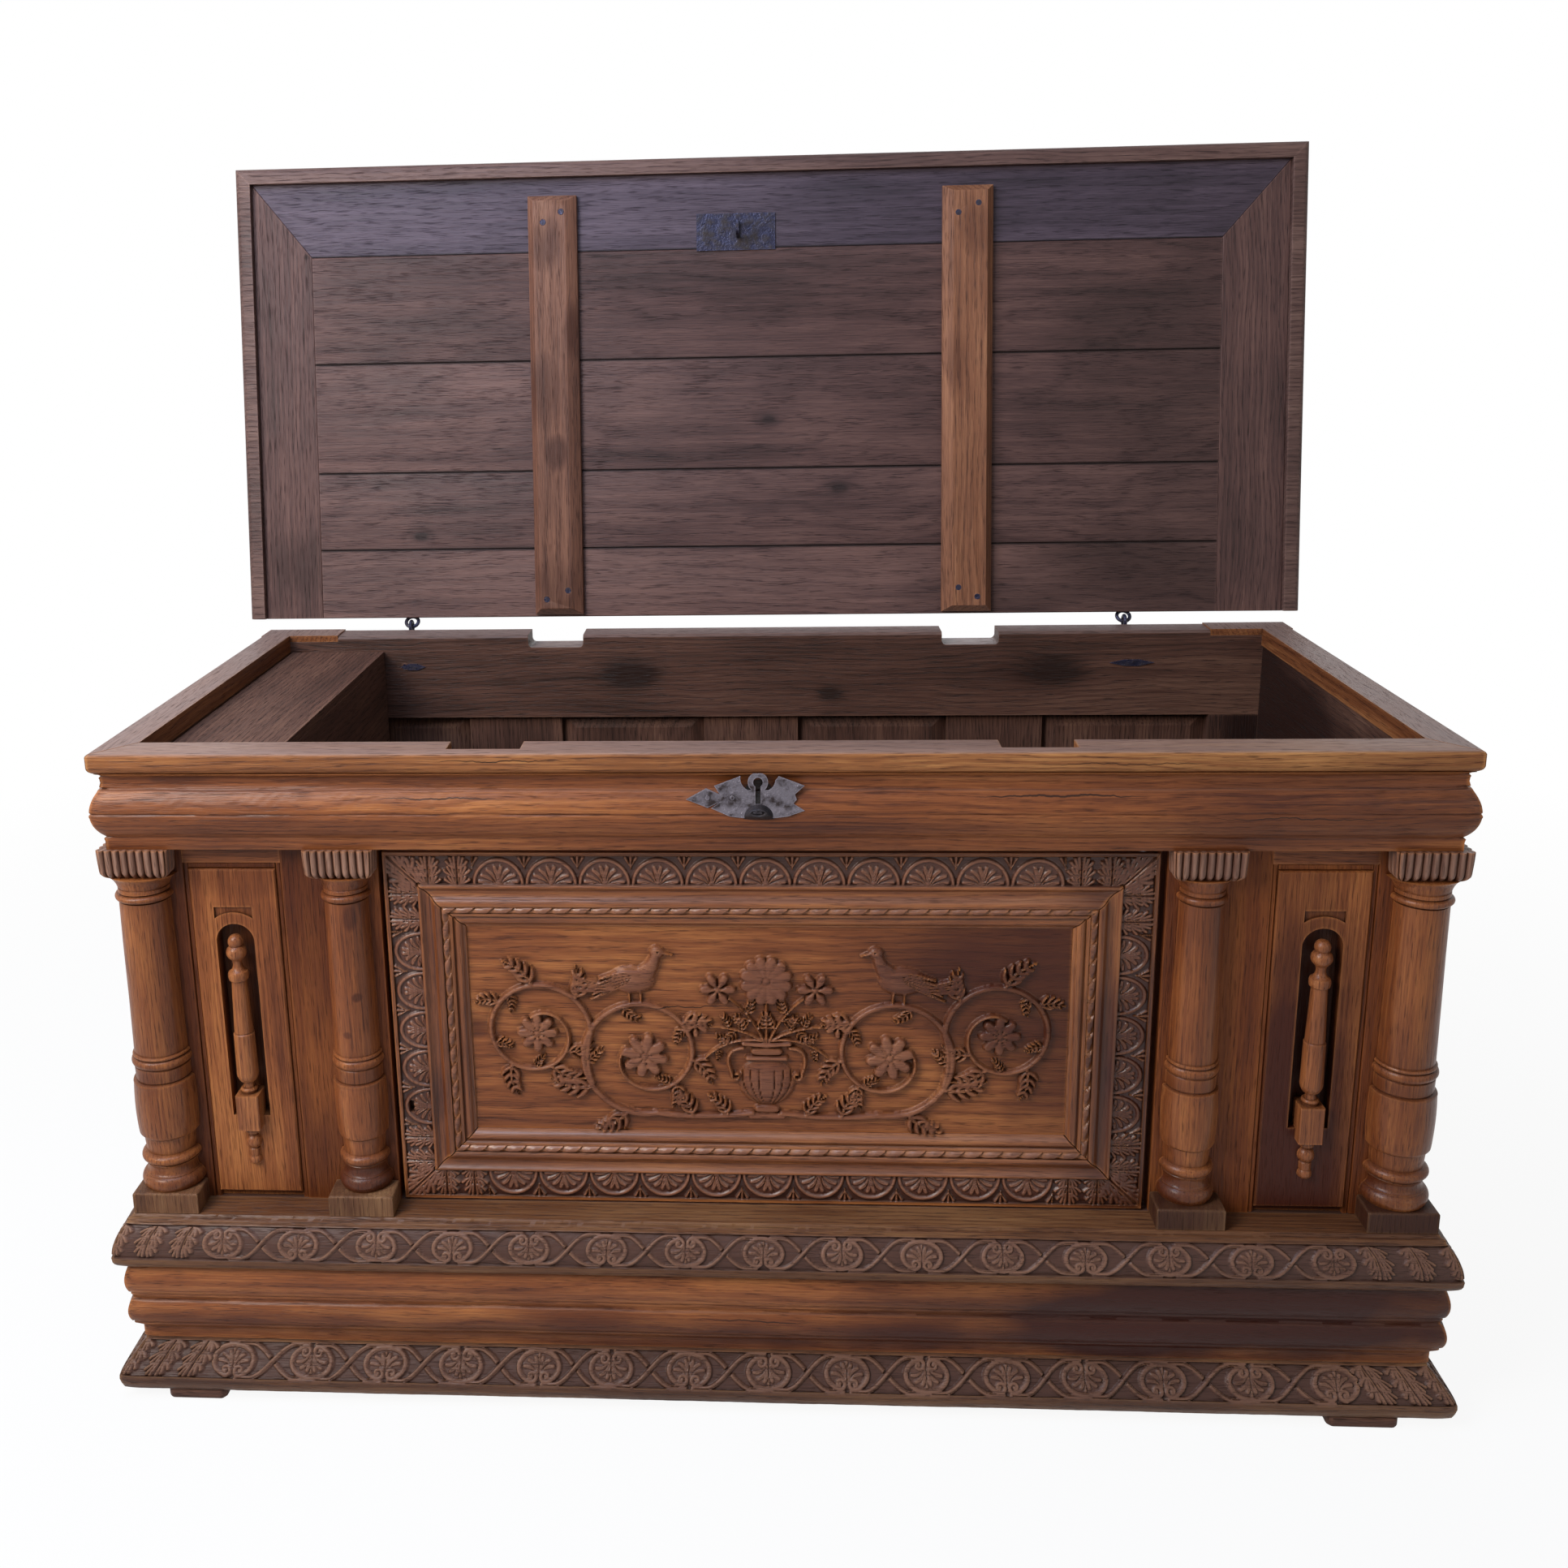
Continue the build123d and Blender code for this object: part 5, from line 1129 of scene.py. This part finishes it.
class CASSONE_OT_door_ropes(bpy.types.Operator):
    """Makes the rope mouldings: half rounds with slanting gouge cuts"""
    bl_idname = "cassone.door_ropes"
    bl_label = "Rope mouldings"

    def execute(self, context):
        sizes = context.scene.cassone_sizes
        pitch, cut = sizes.rope_pitch * 1000, sizes.rope_cut * 1000
        middle, radius, seat = 74.5, 4.5, 34.0
        turn = np.linspace(np.pi, 0, 13)
        c = np.concatenate((radius * np.cos(turn), (radius * 0.4, -radius * 0.4)))
        rise = np.concatenate((4.4 * np.sin(turn), (-0.4, -0.4)))
        sheets, heights = [], []
        for _, axis, side in DOOR_NODES:
            half = DOOR_HALF[axis]
            inward = middle + c
            u = np.linspace(-1, 1, int(2 * (half - middle) / 1.1))
            along = u[:, None] * (half - inward[None, :])
            slant = (along + side * 1.25 * c[None, :] + 0.6 * np.sin(along * 0.05)) % pitch
            gouge = np.clip(1 - slant / 13.5, 0, 1) * smooth(slant / 1.3) * smooth((pitch - slant) / 1.2)
            taken = cut * gouge * (rise > 0)[None, :]
            y = seat - np.maximum(rise[None, :] - taken, np.minimum(rise[None, :], 0.3))
            sheets.append(door_points(axis, side, inward, along, y))
            heights.append(1 - gouge * 0.85)
        surface("carved_rope_mouldings", sheets, "door", FINISHES["door x"], ("door_rope_mouldings",),
                layers={"relief": heights, "band": [0.75 * np.ones_like(h) for h in heights]})
        return {"FINISHED"}


# ---------------------------------------------------------------- door panel
def rosette(carving, centre, radius, petals, height=1.0, turn=0.0):
    """Petals round a boss: each petal is a broad ridge from near the centre to the rim."""
    for k in range(petals):
        angle = turn + 2 * math.pi * k / petals
        way = np.array((math.cos(angle), math.sin(angle)))
        path = [centre + way * radius * share for share in (0.25, 0.55, 0.78)]
        carving.lobe(path, (radius * 0.14, radius * 0.27, radius * 0.24), height, 0.28)
    carving.dome(centre, (radius * 0.24,) * 2, height * 1.05)


def acanthus(carving, foot, tip, curl=0.2, height=0.8):
    """A broad leaf of lobes along a bent midrib. The lobe at share s of the way stands at 37 degrees to the
    midrib, and is 0.44 - 0.30 s of the leaf's length."""
    foot, tip = np.array(foot, float), np.array(tip, float)
    along = tip - foot
    size = math.hypot(*along)
    aside = np.array((-along[1], along[0])) * curl
    rib = bend(foot, (foot + tip) / 2 + aside, tip, 21)
    for share in (0.12, 0.32, 0.52, 0.70):
        start = rib[round(share * 20)]
        way = rib[round(share * 20) + 2] - start
        way = way / math.hypot(*way)
        reach = size * (0.44 - 0.30 * share)
        for side in (-1, 1):
            lean = way * 0.80 + side * 0.60 * np.array((-way[1], way[0]))
            end = start + lean * reach
            pull = start + (way * 0.35 + side * 0.55 * np.array((-way[1], way[0]))) * reach
            halves = np.array((0.05, 0.085, 0.075, 0.03)) * size
            carving.ridge(bend(start, pull, end, 6), halves, height, 1.8, 0.5)
    carving.ridge(rib, (size * 0.07, size * 0.05, size * 0.02), height + 0.12)
    carving.ridge(rib[2:-4], (0.8, 0.5), 0.3, 0.8, cut=True)


def vine(carving, path, halves, height=0.8):
    """A round stem: a ridge of which half is crown."""
    carving.ridge(path, halves, height, edge=2.0, crown=0.5)


def sprout(carving, path, leaves_at):
    """Broad leaves that grow from a path, each at some 50 degrees to its left (1) or right (-1)."""
    for share, size, side in leaves_at:
        k = round(share * (len(path) - 2))
        way = (path[k + 1] - path[k]) / math.dist(path[k + 1], path[k])
        lean = way * 0.62 + side * 0.78 * np.array((-way[1], way[0]))
        acanthus(carving, path[k], path[k] + lean * size, side * 0.24)


def panel_foliage(carving):
    """The right half of the panel: half an urn on a foot, a flowering stem over it, a vine that leaves the
    urn's foot in two opposite coils, leaves along them and a bird on the first coil."""
    carving.ridge(((0, -116), (20, -116)), (5.0, 5.0), 0.8)
    carving.ridge(((0, -106), (11, -106)), (6.0, 5.5), 0.75)
    carving.dome((0, -68), (36, 33), 1.0, 0.5)
    for k in range(1, 4):
        path = bend((k * 3.6, -98), (k * 11.0, -80), (k * 10.0, -52), 8)
        carving.ridge(path, (0.9, 1.3), 0.3, 1.0, cut=True)
    carving.ridge(((0, -36), (24, -36)), (3.6, 3.6), 0.95)
    carving.ridge(((0, -27), (15, -27)), (6.5, 5.5), 0.8)
    carving.ridge(((0, -18), (29, -16)), (4.0, 3.4), 1.0)
    handle = bend((29, -22), (56, -24), (44, -56), 12)
    vine(carving, np.vstack((handle, spiral((38, -60), (6.0, 1.8), (20, -340), 14))), (3.2, 3.0, 2.0), 0.9)
    # the flowers over the urn
    vine(carving, ((0, -14), (0, 40)), (3.0, 2.2))
    for root, pull, tip, leaves_at in (
            ((3, -14), (16, 20), (46, 44), ((0.30, 26, 1), (0.62, 26, 1), (0.50, 24, -1))),
            ((6, -12), (34, 6), (70, 6), ((0.42, 24, 1), (0.70, 22, 1), (0.55, 26, -1))),
            ((8, -12), (48, -6), (78, -38), ((0.6, 22, 1), (0.8, 18, -1)))):
        stem = bend(root, pull, tip, 16)
        vine(carving, stem, (2.8, 1.9))
        sprout(carving, stem, leaves_at)
    rosette(carving, (0.0, 68.0), 33, 12, 0.95, math.pi / 12)
    rosette(carving, (60.0, 56.0), 23, 6, 0.9)
    rosette(carving, (88.0, 8.0), 17, 6, 0.85, 0.5)
    # the vine, its first coil, and the second that branches from it and turns the other way
    stalk = bend((18, -112), (76, -121), (137, -114), 20)
    first = spiral((152, -34), (81, 26), (-100, 380), 72, 1.7)
    branch = bend((218, -72), (229, -40), (219, -4), 14)
    second = spiral((286, -4), (67, 22), (180, -290), 66, 1.7)
    for path, halves in ((stalk, (4.0, 4.8)), (first, (5.0, 4.4, 2.8)), (branch, (3.6, 4.4)),
                         (second, (4.6, 4.0, 2.6))):
        vine(carving, path, halves, 0.86)
    sprout(carving, stalk, ((0.30, 38, 1), (0.66, 44, 1)))
    sprout(carving, first, ((0.06, 50, -1), (0.15, 54, -1), (0.60, 44, -1), (0.50, 40, -1), (0.20, 30, 1),
                            (0.36, 30, 1), (0.52, 28, 1), (0.70, 24, 1), (0.68, 36, -1)))
    sprout(carving, second, ((0.10, 44, 1), (0.20, 50, 1), (0.30, 34, 1), (0.50, 46, 1), (0.62, 48, 1),
                             (0.70, 36, 1), (0.26, 26, -1), (0.42, 26, -1), (0.58, 22, -1)))
    rosette(carving, (152.0, -34.0), 30, 8, 1.0, 0.2)
    rosette(carving, (286.0, -4.0), 26, 8, 0.95)
    # a bird on the first coil, facing the urn
    carving.dome((166, 68), (30, 19), 1.0, 0.55)
    carving.ridge(bend((150, 76), (138, 88), (136, 102), 10), (13.0, 9.0, 7.0), 0.95, 2.4, 0.6)
    carving.dome((134, 105), (10.0, 9.0), 1.0, 0.6)
    carving.ridge(((127, 105), (115, 101)), (3.2, 1.0), 0.8)
    for k in range(5):
        carving.lobe(bend((154 + 3 * k, 78 - 2 * k), (180, 80 - 5 * k), (206 + 3 * k, 70 - 7 * k), 9),
                     (3.4, 4.4, 2.2), 1.0 - 0.05 * k, 0.26)
    for k in range(3):
        feather = bend((190, 62 - 3 * k), (212, 62 - 4 * k), (236, 72 - 9 * k), 6)
        carving.lobe(feather, (2.8, 4.2, 3.4), 0.78, 0.26)
    for foot in (156, 170):
        carving.ridge(((foot, 58), (foot - 1, 38)), (2.2, 1.8), 0.7)
    carving.ridge(((132.5, 106.5), (132.6, 106.6)), (1.4, 1.4), 0.5, 0.8, cut=True)


class CASSONE_OT_door_panel(bpy.types.Operator):
    """Carves the door's panel in low relief with an urn, coiling vines and birds"""
    bl_idname = "cassone.door_panel"
    bl_label = "Door panel"

    def execute(self, context):
        sizes = context.scene.cassone_sizes
        relief, step = sizes.panel_relief * 1000, sizes.carving_step * 1000
        half, tall = DOOR_HALF[0] - FIELD_IN, DOOR_HALF[1] - FIELD_IN
        a = np.linspace(-half, half, int(2 * half / (step * 1.5)))[:, None]
        b = np.concatenate((np.linspace(-tall, -121, 6), np.linspace(-120, 116, int(236 / (step * 1.25))),
                            np.linspace(117, tall, 6)))[None, :]
        carving = Carving(np.abs(a), b)
        panel_foliage(carving)
        shape = carving.height
        slow = 0.35 * np.sin(a * 0.021 + 0.7) * np.sin(b * 0.03 + 1.0)
        y = 42.0 - relief * shape + (slow + 0.35) * (shape < 0.02)
        front = np.stack((DOOR_MIDDLE[0] + a + 0 * y, y, DOOR_MIDDLE[1] + b + 0 * y), -1)
        back = front[:, (-1, 0)].copy()
        back[:, :, 1] = 58.0
        level = np.hstack((shape, np.zeros_like(shape[:, :2])))
        surface("panel_carving", [np.hstack((front, back))], "door", FINISHES["field"], ("door_panel",),
                layers={"relief": [level], "band": [level * 0.8]}, angle=60.0)
        return {"FINISHED"}


# ---------------------------------------------------------------- capitals
OUTER_COLUMN, INNER_COLUMN = 769.0, 516.0
# Each column: its name, its axis, half its capital's width, its share of full thickness and its unevenness
COLUMNS = (("outer_left", -OUTER_COLUMN, 44.0, 1.0, 0.0), ("inner_left", -INNER_COLUMN, 43.0, 0.85, 1.7),
           ("inner_right", INNER_COLUMN, 43.0, 0.85, 3.1), ("outer_right", OUTER_COLUMN, 44.0, 1.0, 4.4))
CAPITAL_FRONT, CAPITAL_LOW, CAPITAL_HIGH = 3.0, 705.0, CORNICE_LOW


class CASSONE_OT_capitals(bpy.types.Operator):
    """Carves the capitals with upright gadroons round three sides, each bulging as sin^0.62 of its width"""
    bl_idname = "cassone.capitals"
    bl_label = "Capitals"

    def execute(self, context):
        pitch = context.scene.cassone_sizes.gadroon_pitch * 1000
        front, back, low, high = CAPITAL_FRONT, FRAME_FACE, CAPITAL_LOW, CAPITAL_HIGH
        sheets, heights = [], []
        for _, centre, half, _, _ in COLUMNS:
            reach = back - front
            count = round(2 * half / pitch)
            side = round(reach / pitch)
            run = np.concatenate((np.linspace(-half - reach, -half, side * 12, endpoint=False),
                                  np.linspace(-half, half, count * 12, endpoint=False),
                                  np.linspace(half, half + reach, side * 12 + 1)))
            on_side = np.abs(run) > half
            phase = np.where(on_side, (np.abs(run) - half) / reach * side, (run + half) / (2 * half) * count)
            bulge = np.abs(np.sin(np.pi * phase)) ** 0.62
            foot = low + 6 * (1 - np.cos(np.linspace(0.3, np.pi / 2, 7)))
            z = np.concatenate(((low,), foot, np.linspace(712, high, 12)))
            rise, dip = ((z - low) / (high - low))[None, :], 1 - bulge[:, None]
            round_foot = 7.5 * np.clip(1 - (z[None, :] - low - 4.5 * dip) / 9.0, 0, 1) ** 2.2
            inset = 3.6 * dip * (0.6 + 0.4 * rise) + round_foot + 2.2 * (1 - rise) ** 1.5
            x = np.clip(run, -half, half)[:, None] + 0 * inset
            y = np.where(on_side, front + np.abs(run) - half, front)[:, None] + 0 * inset
            x_share = np.where(on_side[:, None], 1, np.clip((np.abs(x) - half + 12) / 12, 0, 1))
            y_share = np.where(on_side[:, None], np.clip(1 - (y - front) / 12, 0, 1), 1)
            x = np.sign(x) * (np.abs(x) - inset * x_share)
            y = np.minimum(y + inset * y_share, back)
            outer = np.stack((centre + x, y, z[None, :] + 0 * x), -1)
            behind = outer[:, (-1, 0)].copy()
            behind[:, :, 0] = centre + (behind[:, :, 0] - centre) * 0.6
            behind[:, :, 1] = back
            sheets.append(np.hstack((outer, behind)))
            level = bulge[:, None] ** 1.5 + 0 * x
            heights.append(np.hstack((level, level[:, :2])))
        surface("gadrooned_capitals", sheets, "case", FINISHES["capital z"], ("capitals",),
                layers={"relief": heights, "band": [0.8 * np.ones_like(h) for h in heights]}, angle=60.0)
        return {"FINISHED"}


# ---------------------------------------------------------------- columns
# The turned section from the plinth up, as (radius, height)
COLUMN = np.vstack((
    ((36.6, 283.0), (37.0, 283.6)), arc((37.4, 284.4), (40.6, 292), (37.4, 300.2), 12),
    ((36.4, 300.8), (35.6, 301.4), (35.6, 302.6)), arc((34.0, 303.4), (31.6, 311), (34.2, 317.4), 9),
    ((33.2, 318.4), (33.4, 319.2), (35.0, 319.8)), arc((35.4, 320.2), (38.2, 325), (35.4, 330.2), 9),
    ((33.6, 331.2), (31.2, 332.2), (31.4, 333.4), (33.3, 354.2), (32.2, 355.2), (32.6, 355.9), (36.8, 356.6),
     (37.9, 358.2)), arc((38.2, 360), (40.0, 395), (38.9, 427.6), 9),
    ((39.2, 429.4), (38.6, 431.2), (37.0, 431.9), (34.2, 432.6), (34.2, 433.6), (35.3, 434.6), (35.7, 450.4),
     (34.2, 451.6), (34.4, 452.6)), arc((36.2, 453.4), (38.4, 458.6), (36.4, 463.2), 9),
    ((34.2, 464.0), (34.2, 464.8), (36.0, 465.6), (36.4, 467.4), (35.6, 468.8), (33.6, 469.6), (33.8, 471.0),
     (34.1, 473.0), (33.4, 540.0), (32.6, 610.0), (31.9, 672.4), (30.4, 673.4), (30.4, 674.0)),
    arc((32.4, 674.6), (36.0, 678.6), (32.6, 682.6), 9),
    ((30.4, 683.4), (30.6, 684.2), (31.8, 684.8), (31.9, 688.6), (30.9, 689.4), (31.4, 690.4)),
    arc((32.4, 691.6), (36.4, 699.0), (43.4, 705.0), 9)))


class CASSONE_OT_columns(bpy.types.Operator):
    """Turns the four half columns: at height z and angle t the surface is at r(z) (cos t, -sin t), flattened
    under the capital and a little out of round"""
    bl_idname = "cassone.columns"
    bl_label = "Columns"

    def execute(self, context):
        t = np.linspace(0, np.pi, 72)[None, :]
        for name, centre, _, factor, seed in COLUMNS:
            r, z = COLUMN[:, :1] * factor, COLUMN[:, 1:]
            fall = np.interp(z, (283, 300, 690, 705), (0, 1, 1, 0))
            waves = 0.35 * np.sin(t * 2 + z * 0.011 + seed) + 0.2 * np.sin(t * 5 - z * 0.05 + seed * 2)
            r = r + fall * (waves - 0.3)
            deep = np.interp(z, (686, 705), (1.0, 0.78))
            points = np.stack((centre + r * np.cos(t), FRAME_FACE - r * deep * np.sin(t), z + 0 * t), -1)
            surface("turned_" + name, [points], "case", FINISHES["column z"], ("column_" + name,),
                    angle=38.0)
        return {"FINISHED"}


# ---------------------------------------------------------------- stage
FLOOR_RADIUS = 14.0        # metres
# Each lamp: its name, place, aim, size, watts and colour
LAMPS = (
    ("window", (-1.8, -1.8, 2.2), (-0.4, -0.3, 0.7), 1.2, 76.0, (1.0, 0.955, 0.90)),
    ("sky", (-0.9, -0.8, 2.7), (-0.2, 0.2, 1.1), 1.4, 46.0, (0.54, 0.71, 1.0)),
    ("fill", (2.8, -3.0, 1.8), (0.3, 0.0, 0.5), 2.0, 13.0, (1.0, 0.93, 0.86)),
    ("behind", (0.5, 3.6, 2.6), (0.0, 0.2, 0.6), 2.4, 50.0, (0.95, 0.97, 1.0)))


def background_rays(wire):
    """1 for rays that show the background as it is: from the camera, and glossy or transmitted ones."""
    camera, glossy, through = (wire.node("ShaderNodeLightPath", output="Is " + kind + " Ray")
                               for kind in ("Camera", "Glossy", "Transmission"))
    return (camera + glossy + through).clamp()


class CASSONE_OT_stage(bpy.types.Operator):
    """Lays the pale floor, hangs the lamps and sets the camera"""
    bl_idname = "cassone.stage"
    bl_label = "Stage"

    def execute(self, context):
        scene = context.scene
        colours = scene.cassone_colours
        mesh = bpy.data.meshes.new("floor")
        turn = np.linspace(0, 2 * np.pi, 64, endpoint=False)
        points = FLOOR_RADIUS * np.stack((np.cos(turn), np.sin(turn), np.zeros(64)), -1)
        mesh.from_pydata(points, [], [list(range(64))])
        floor = bpy.data.objects.new("floor", mesh)
        scene.collection.objects.link(floor)
        made, wire, shader = blank("pale_floor")
        place = wire.node("ShaderNodeTexCoord", output="Object")
        x, y, z = (wire.node("ShaderNodeSeparateXYZ", {0: place}, k) for k in range(3))
        speck = wire.noise(x * 3.0, y * 3.0, z, 3.0)
        pale = wire.mix(speck * 0.06, tuple(colours.floor), tuple(colours.floor_speck))
        feed(wire, shader, Base_Color=pale, Roughness=0.85)
        glow = wire.node("ShaderNodeEmission", {"Color": (1.0, 1.0, 1.0, 1.0), "Strength": 1.0})
        seen = background_rays(wire)
        far = ((x ** 2.0 + y ** 2.0) ** 0.5).part(1.0, 3.0)
        lit = Wire(wire.tree, shader.outputs[0])
        both = wire.node("ShaderNodeMixShader", {0: seen * (0.92 + far * 0.08), 1: lit, 2: glow})
        out = next(n for n in wire.tree.nodes if n.type == "OUTPUT_MATERIAL")
        wire.tree.links.new(both.socket, out.inputs["Surface"])
        mesh.materials.append(made)

        world = bpy.data.worlds.new("studio")
        scene.world = world
        world.use_nodes = True
        wire = Wire(world.node_tree)
        sky = wire.node("ShaderNodeBackground", {"Color": (1.0, 0.97, 0.93, 1.0), "Strength": 0.12})
        seen = background_rays(wire)
        white = wire.node("ShaderNodeBackground", {"Color": (1.0, 1.0, 1.0, 1.0), "Strength": 1.0})
        both = wire.node("ShaderNodeMixShader", {0: seen, 1: sky, 2: white})
        out = next(n for n in wire.tree.nodes if n.type == "OUTPUT_WORLD")
        wire.tree.links.new(both.socket, out.inputs["Surface"])

        for name, place, aim, size, power, shade in LAMPS:
            lamp = bpy.data.lights.new(name, "AREA")
            lamp.size, lamp.energy, lamp.color = size, power, shade
            holder = bpy.data.objects.new(name, lamp)
            holder.location = place
            holder.visible_camera = False
            holder.rotation_euler = (Vector(aim) - Vector(place)).to_track_quat("-Z", "Y").to_euler()
            scene.collection.objects.link(holder)

        yaw, pitch, roll = (math.radians(v) for v in (CAMERA_YAW, CAMERA_PITCH, CAMERA_ROLL))
        ahead = Vector((math.sin(yaw) * math.cos(pitch), math.cos(yaw) * math.cos(pitch), -math.sin(pitch)))
        level = Vector((math.cos(yaw), -math.sin(yaw), 0.0))
        upright = level.cross(ahead)
        right = level * math.cos(roll) + upright * math.sin(roll)
        up = upright * math.cos(roll) - level * math.sin(roll)
        lens = bpy.data.cameras.new("camera")
        camera = bpy.data.objects.new("camera", lens)
        camera.matrix_world = (Matrix.Translation(CAMERA_PLACE)
                               @ Matrix((right, up, -ahead)).transposed().to_4x4())
        lens.lens = SENSOR_WIDE * FOCAL_PIXELS / IMAGE_PIXELS
        lens.shift_x = (IMAGE_PIXELS / 2 - CENTRE_PIXELS[0]) / IMAGE_PIXELS
        lens.shift_y = (CENTRE_PIXELS[1] - IMAGE_PIXELS / 2) / IMAGE_PIXELS
        lens.clip_end = 60.0
        scene.collection.objects.link(camera)
        scene.camera = camera
        scene.view_settings.view_transform = "Standard"
        return {"FINISHED"}


STEPS = (CASSONE_OT_finishes, CASSONE_OT_ledge, CASSONE_OT_base, CASSONE_OT_mouldings,
         CASSONE_OT_worn_edges, CASSONE_OT_socket, CASSONE_OT_door_frame, CASSONE_OT_door_ropes,
         CASSONE_OT_door_panel, CASSONE_OT_capitals, CASSONE_OT_columns, CASSONE_OT_stage)


class CASSONE_PT_panel(bpy.types.Panel):
    """Lists the steps that dress the chest"""
    bl_idname = "CASSONE_PT_panel"
    bl_label = "Cassone"
    bl_space_type = "VIEW_3D"
    bl_region_type = "UI"
    bl_category = "Cassone"

    def draw(self, context):
        for step in STEPS:
            self.layout.operator(step.bl_idname)


CLASSES = (CassoneSizes, CassoneColours, *STEPS, CASSONE_PT_panel)


def register():
    """Adds the classes and the two groups of settings."""
    for each in CLASSES:
        bpy.utils.register_class(each)
    bpy.types.Scene.cassone_sizes = bpy.props.PointerProperty(type=CassoneSizes)
    bpy.types.Scene.cassone_colours = bpy.props.PointerProperty(type=CassoneColours)


def unregister():
    """Takes them away again."""
    del bpy.types.Scene.cassone_colours
    del bpy.types.Scene.cassone_sizes
    for each in reversed(CLASSES):
        bpy.utils.unregister_class(each)


def main():
    """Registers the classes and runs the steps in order."""
    register()
    for step in STEPS:
        group, name = step.bl_idname.split(".")
        getattr(getattr(bpy.ops, group), name)()


if __name__ == "__main__":
    main()
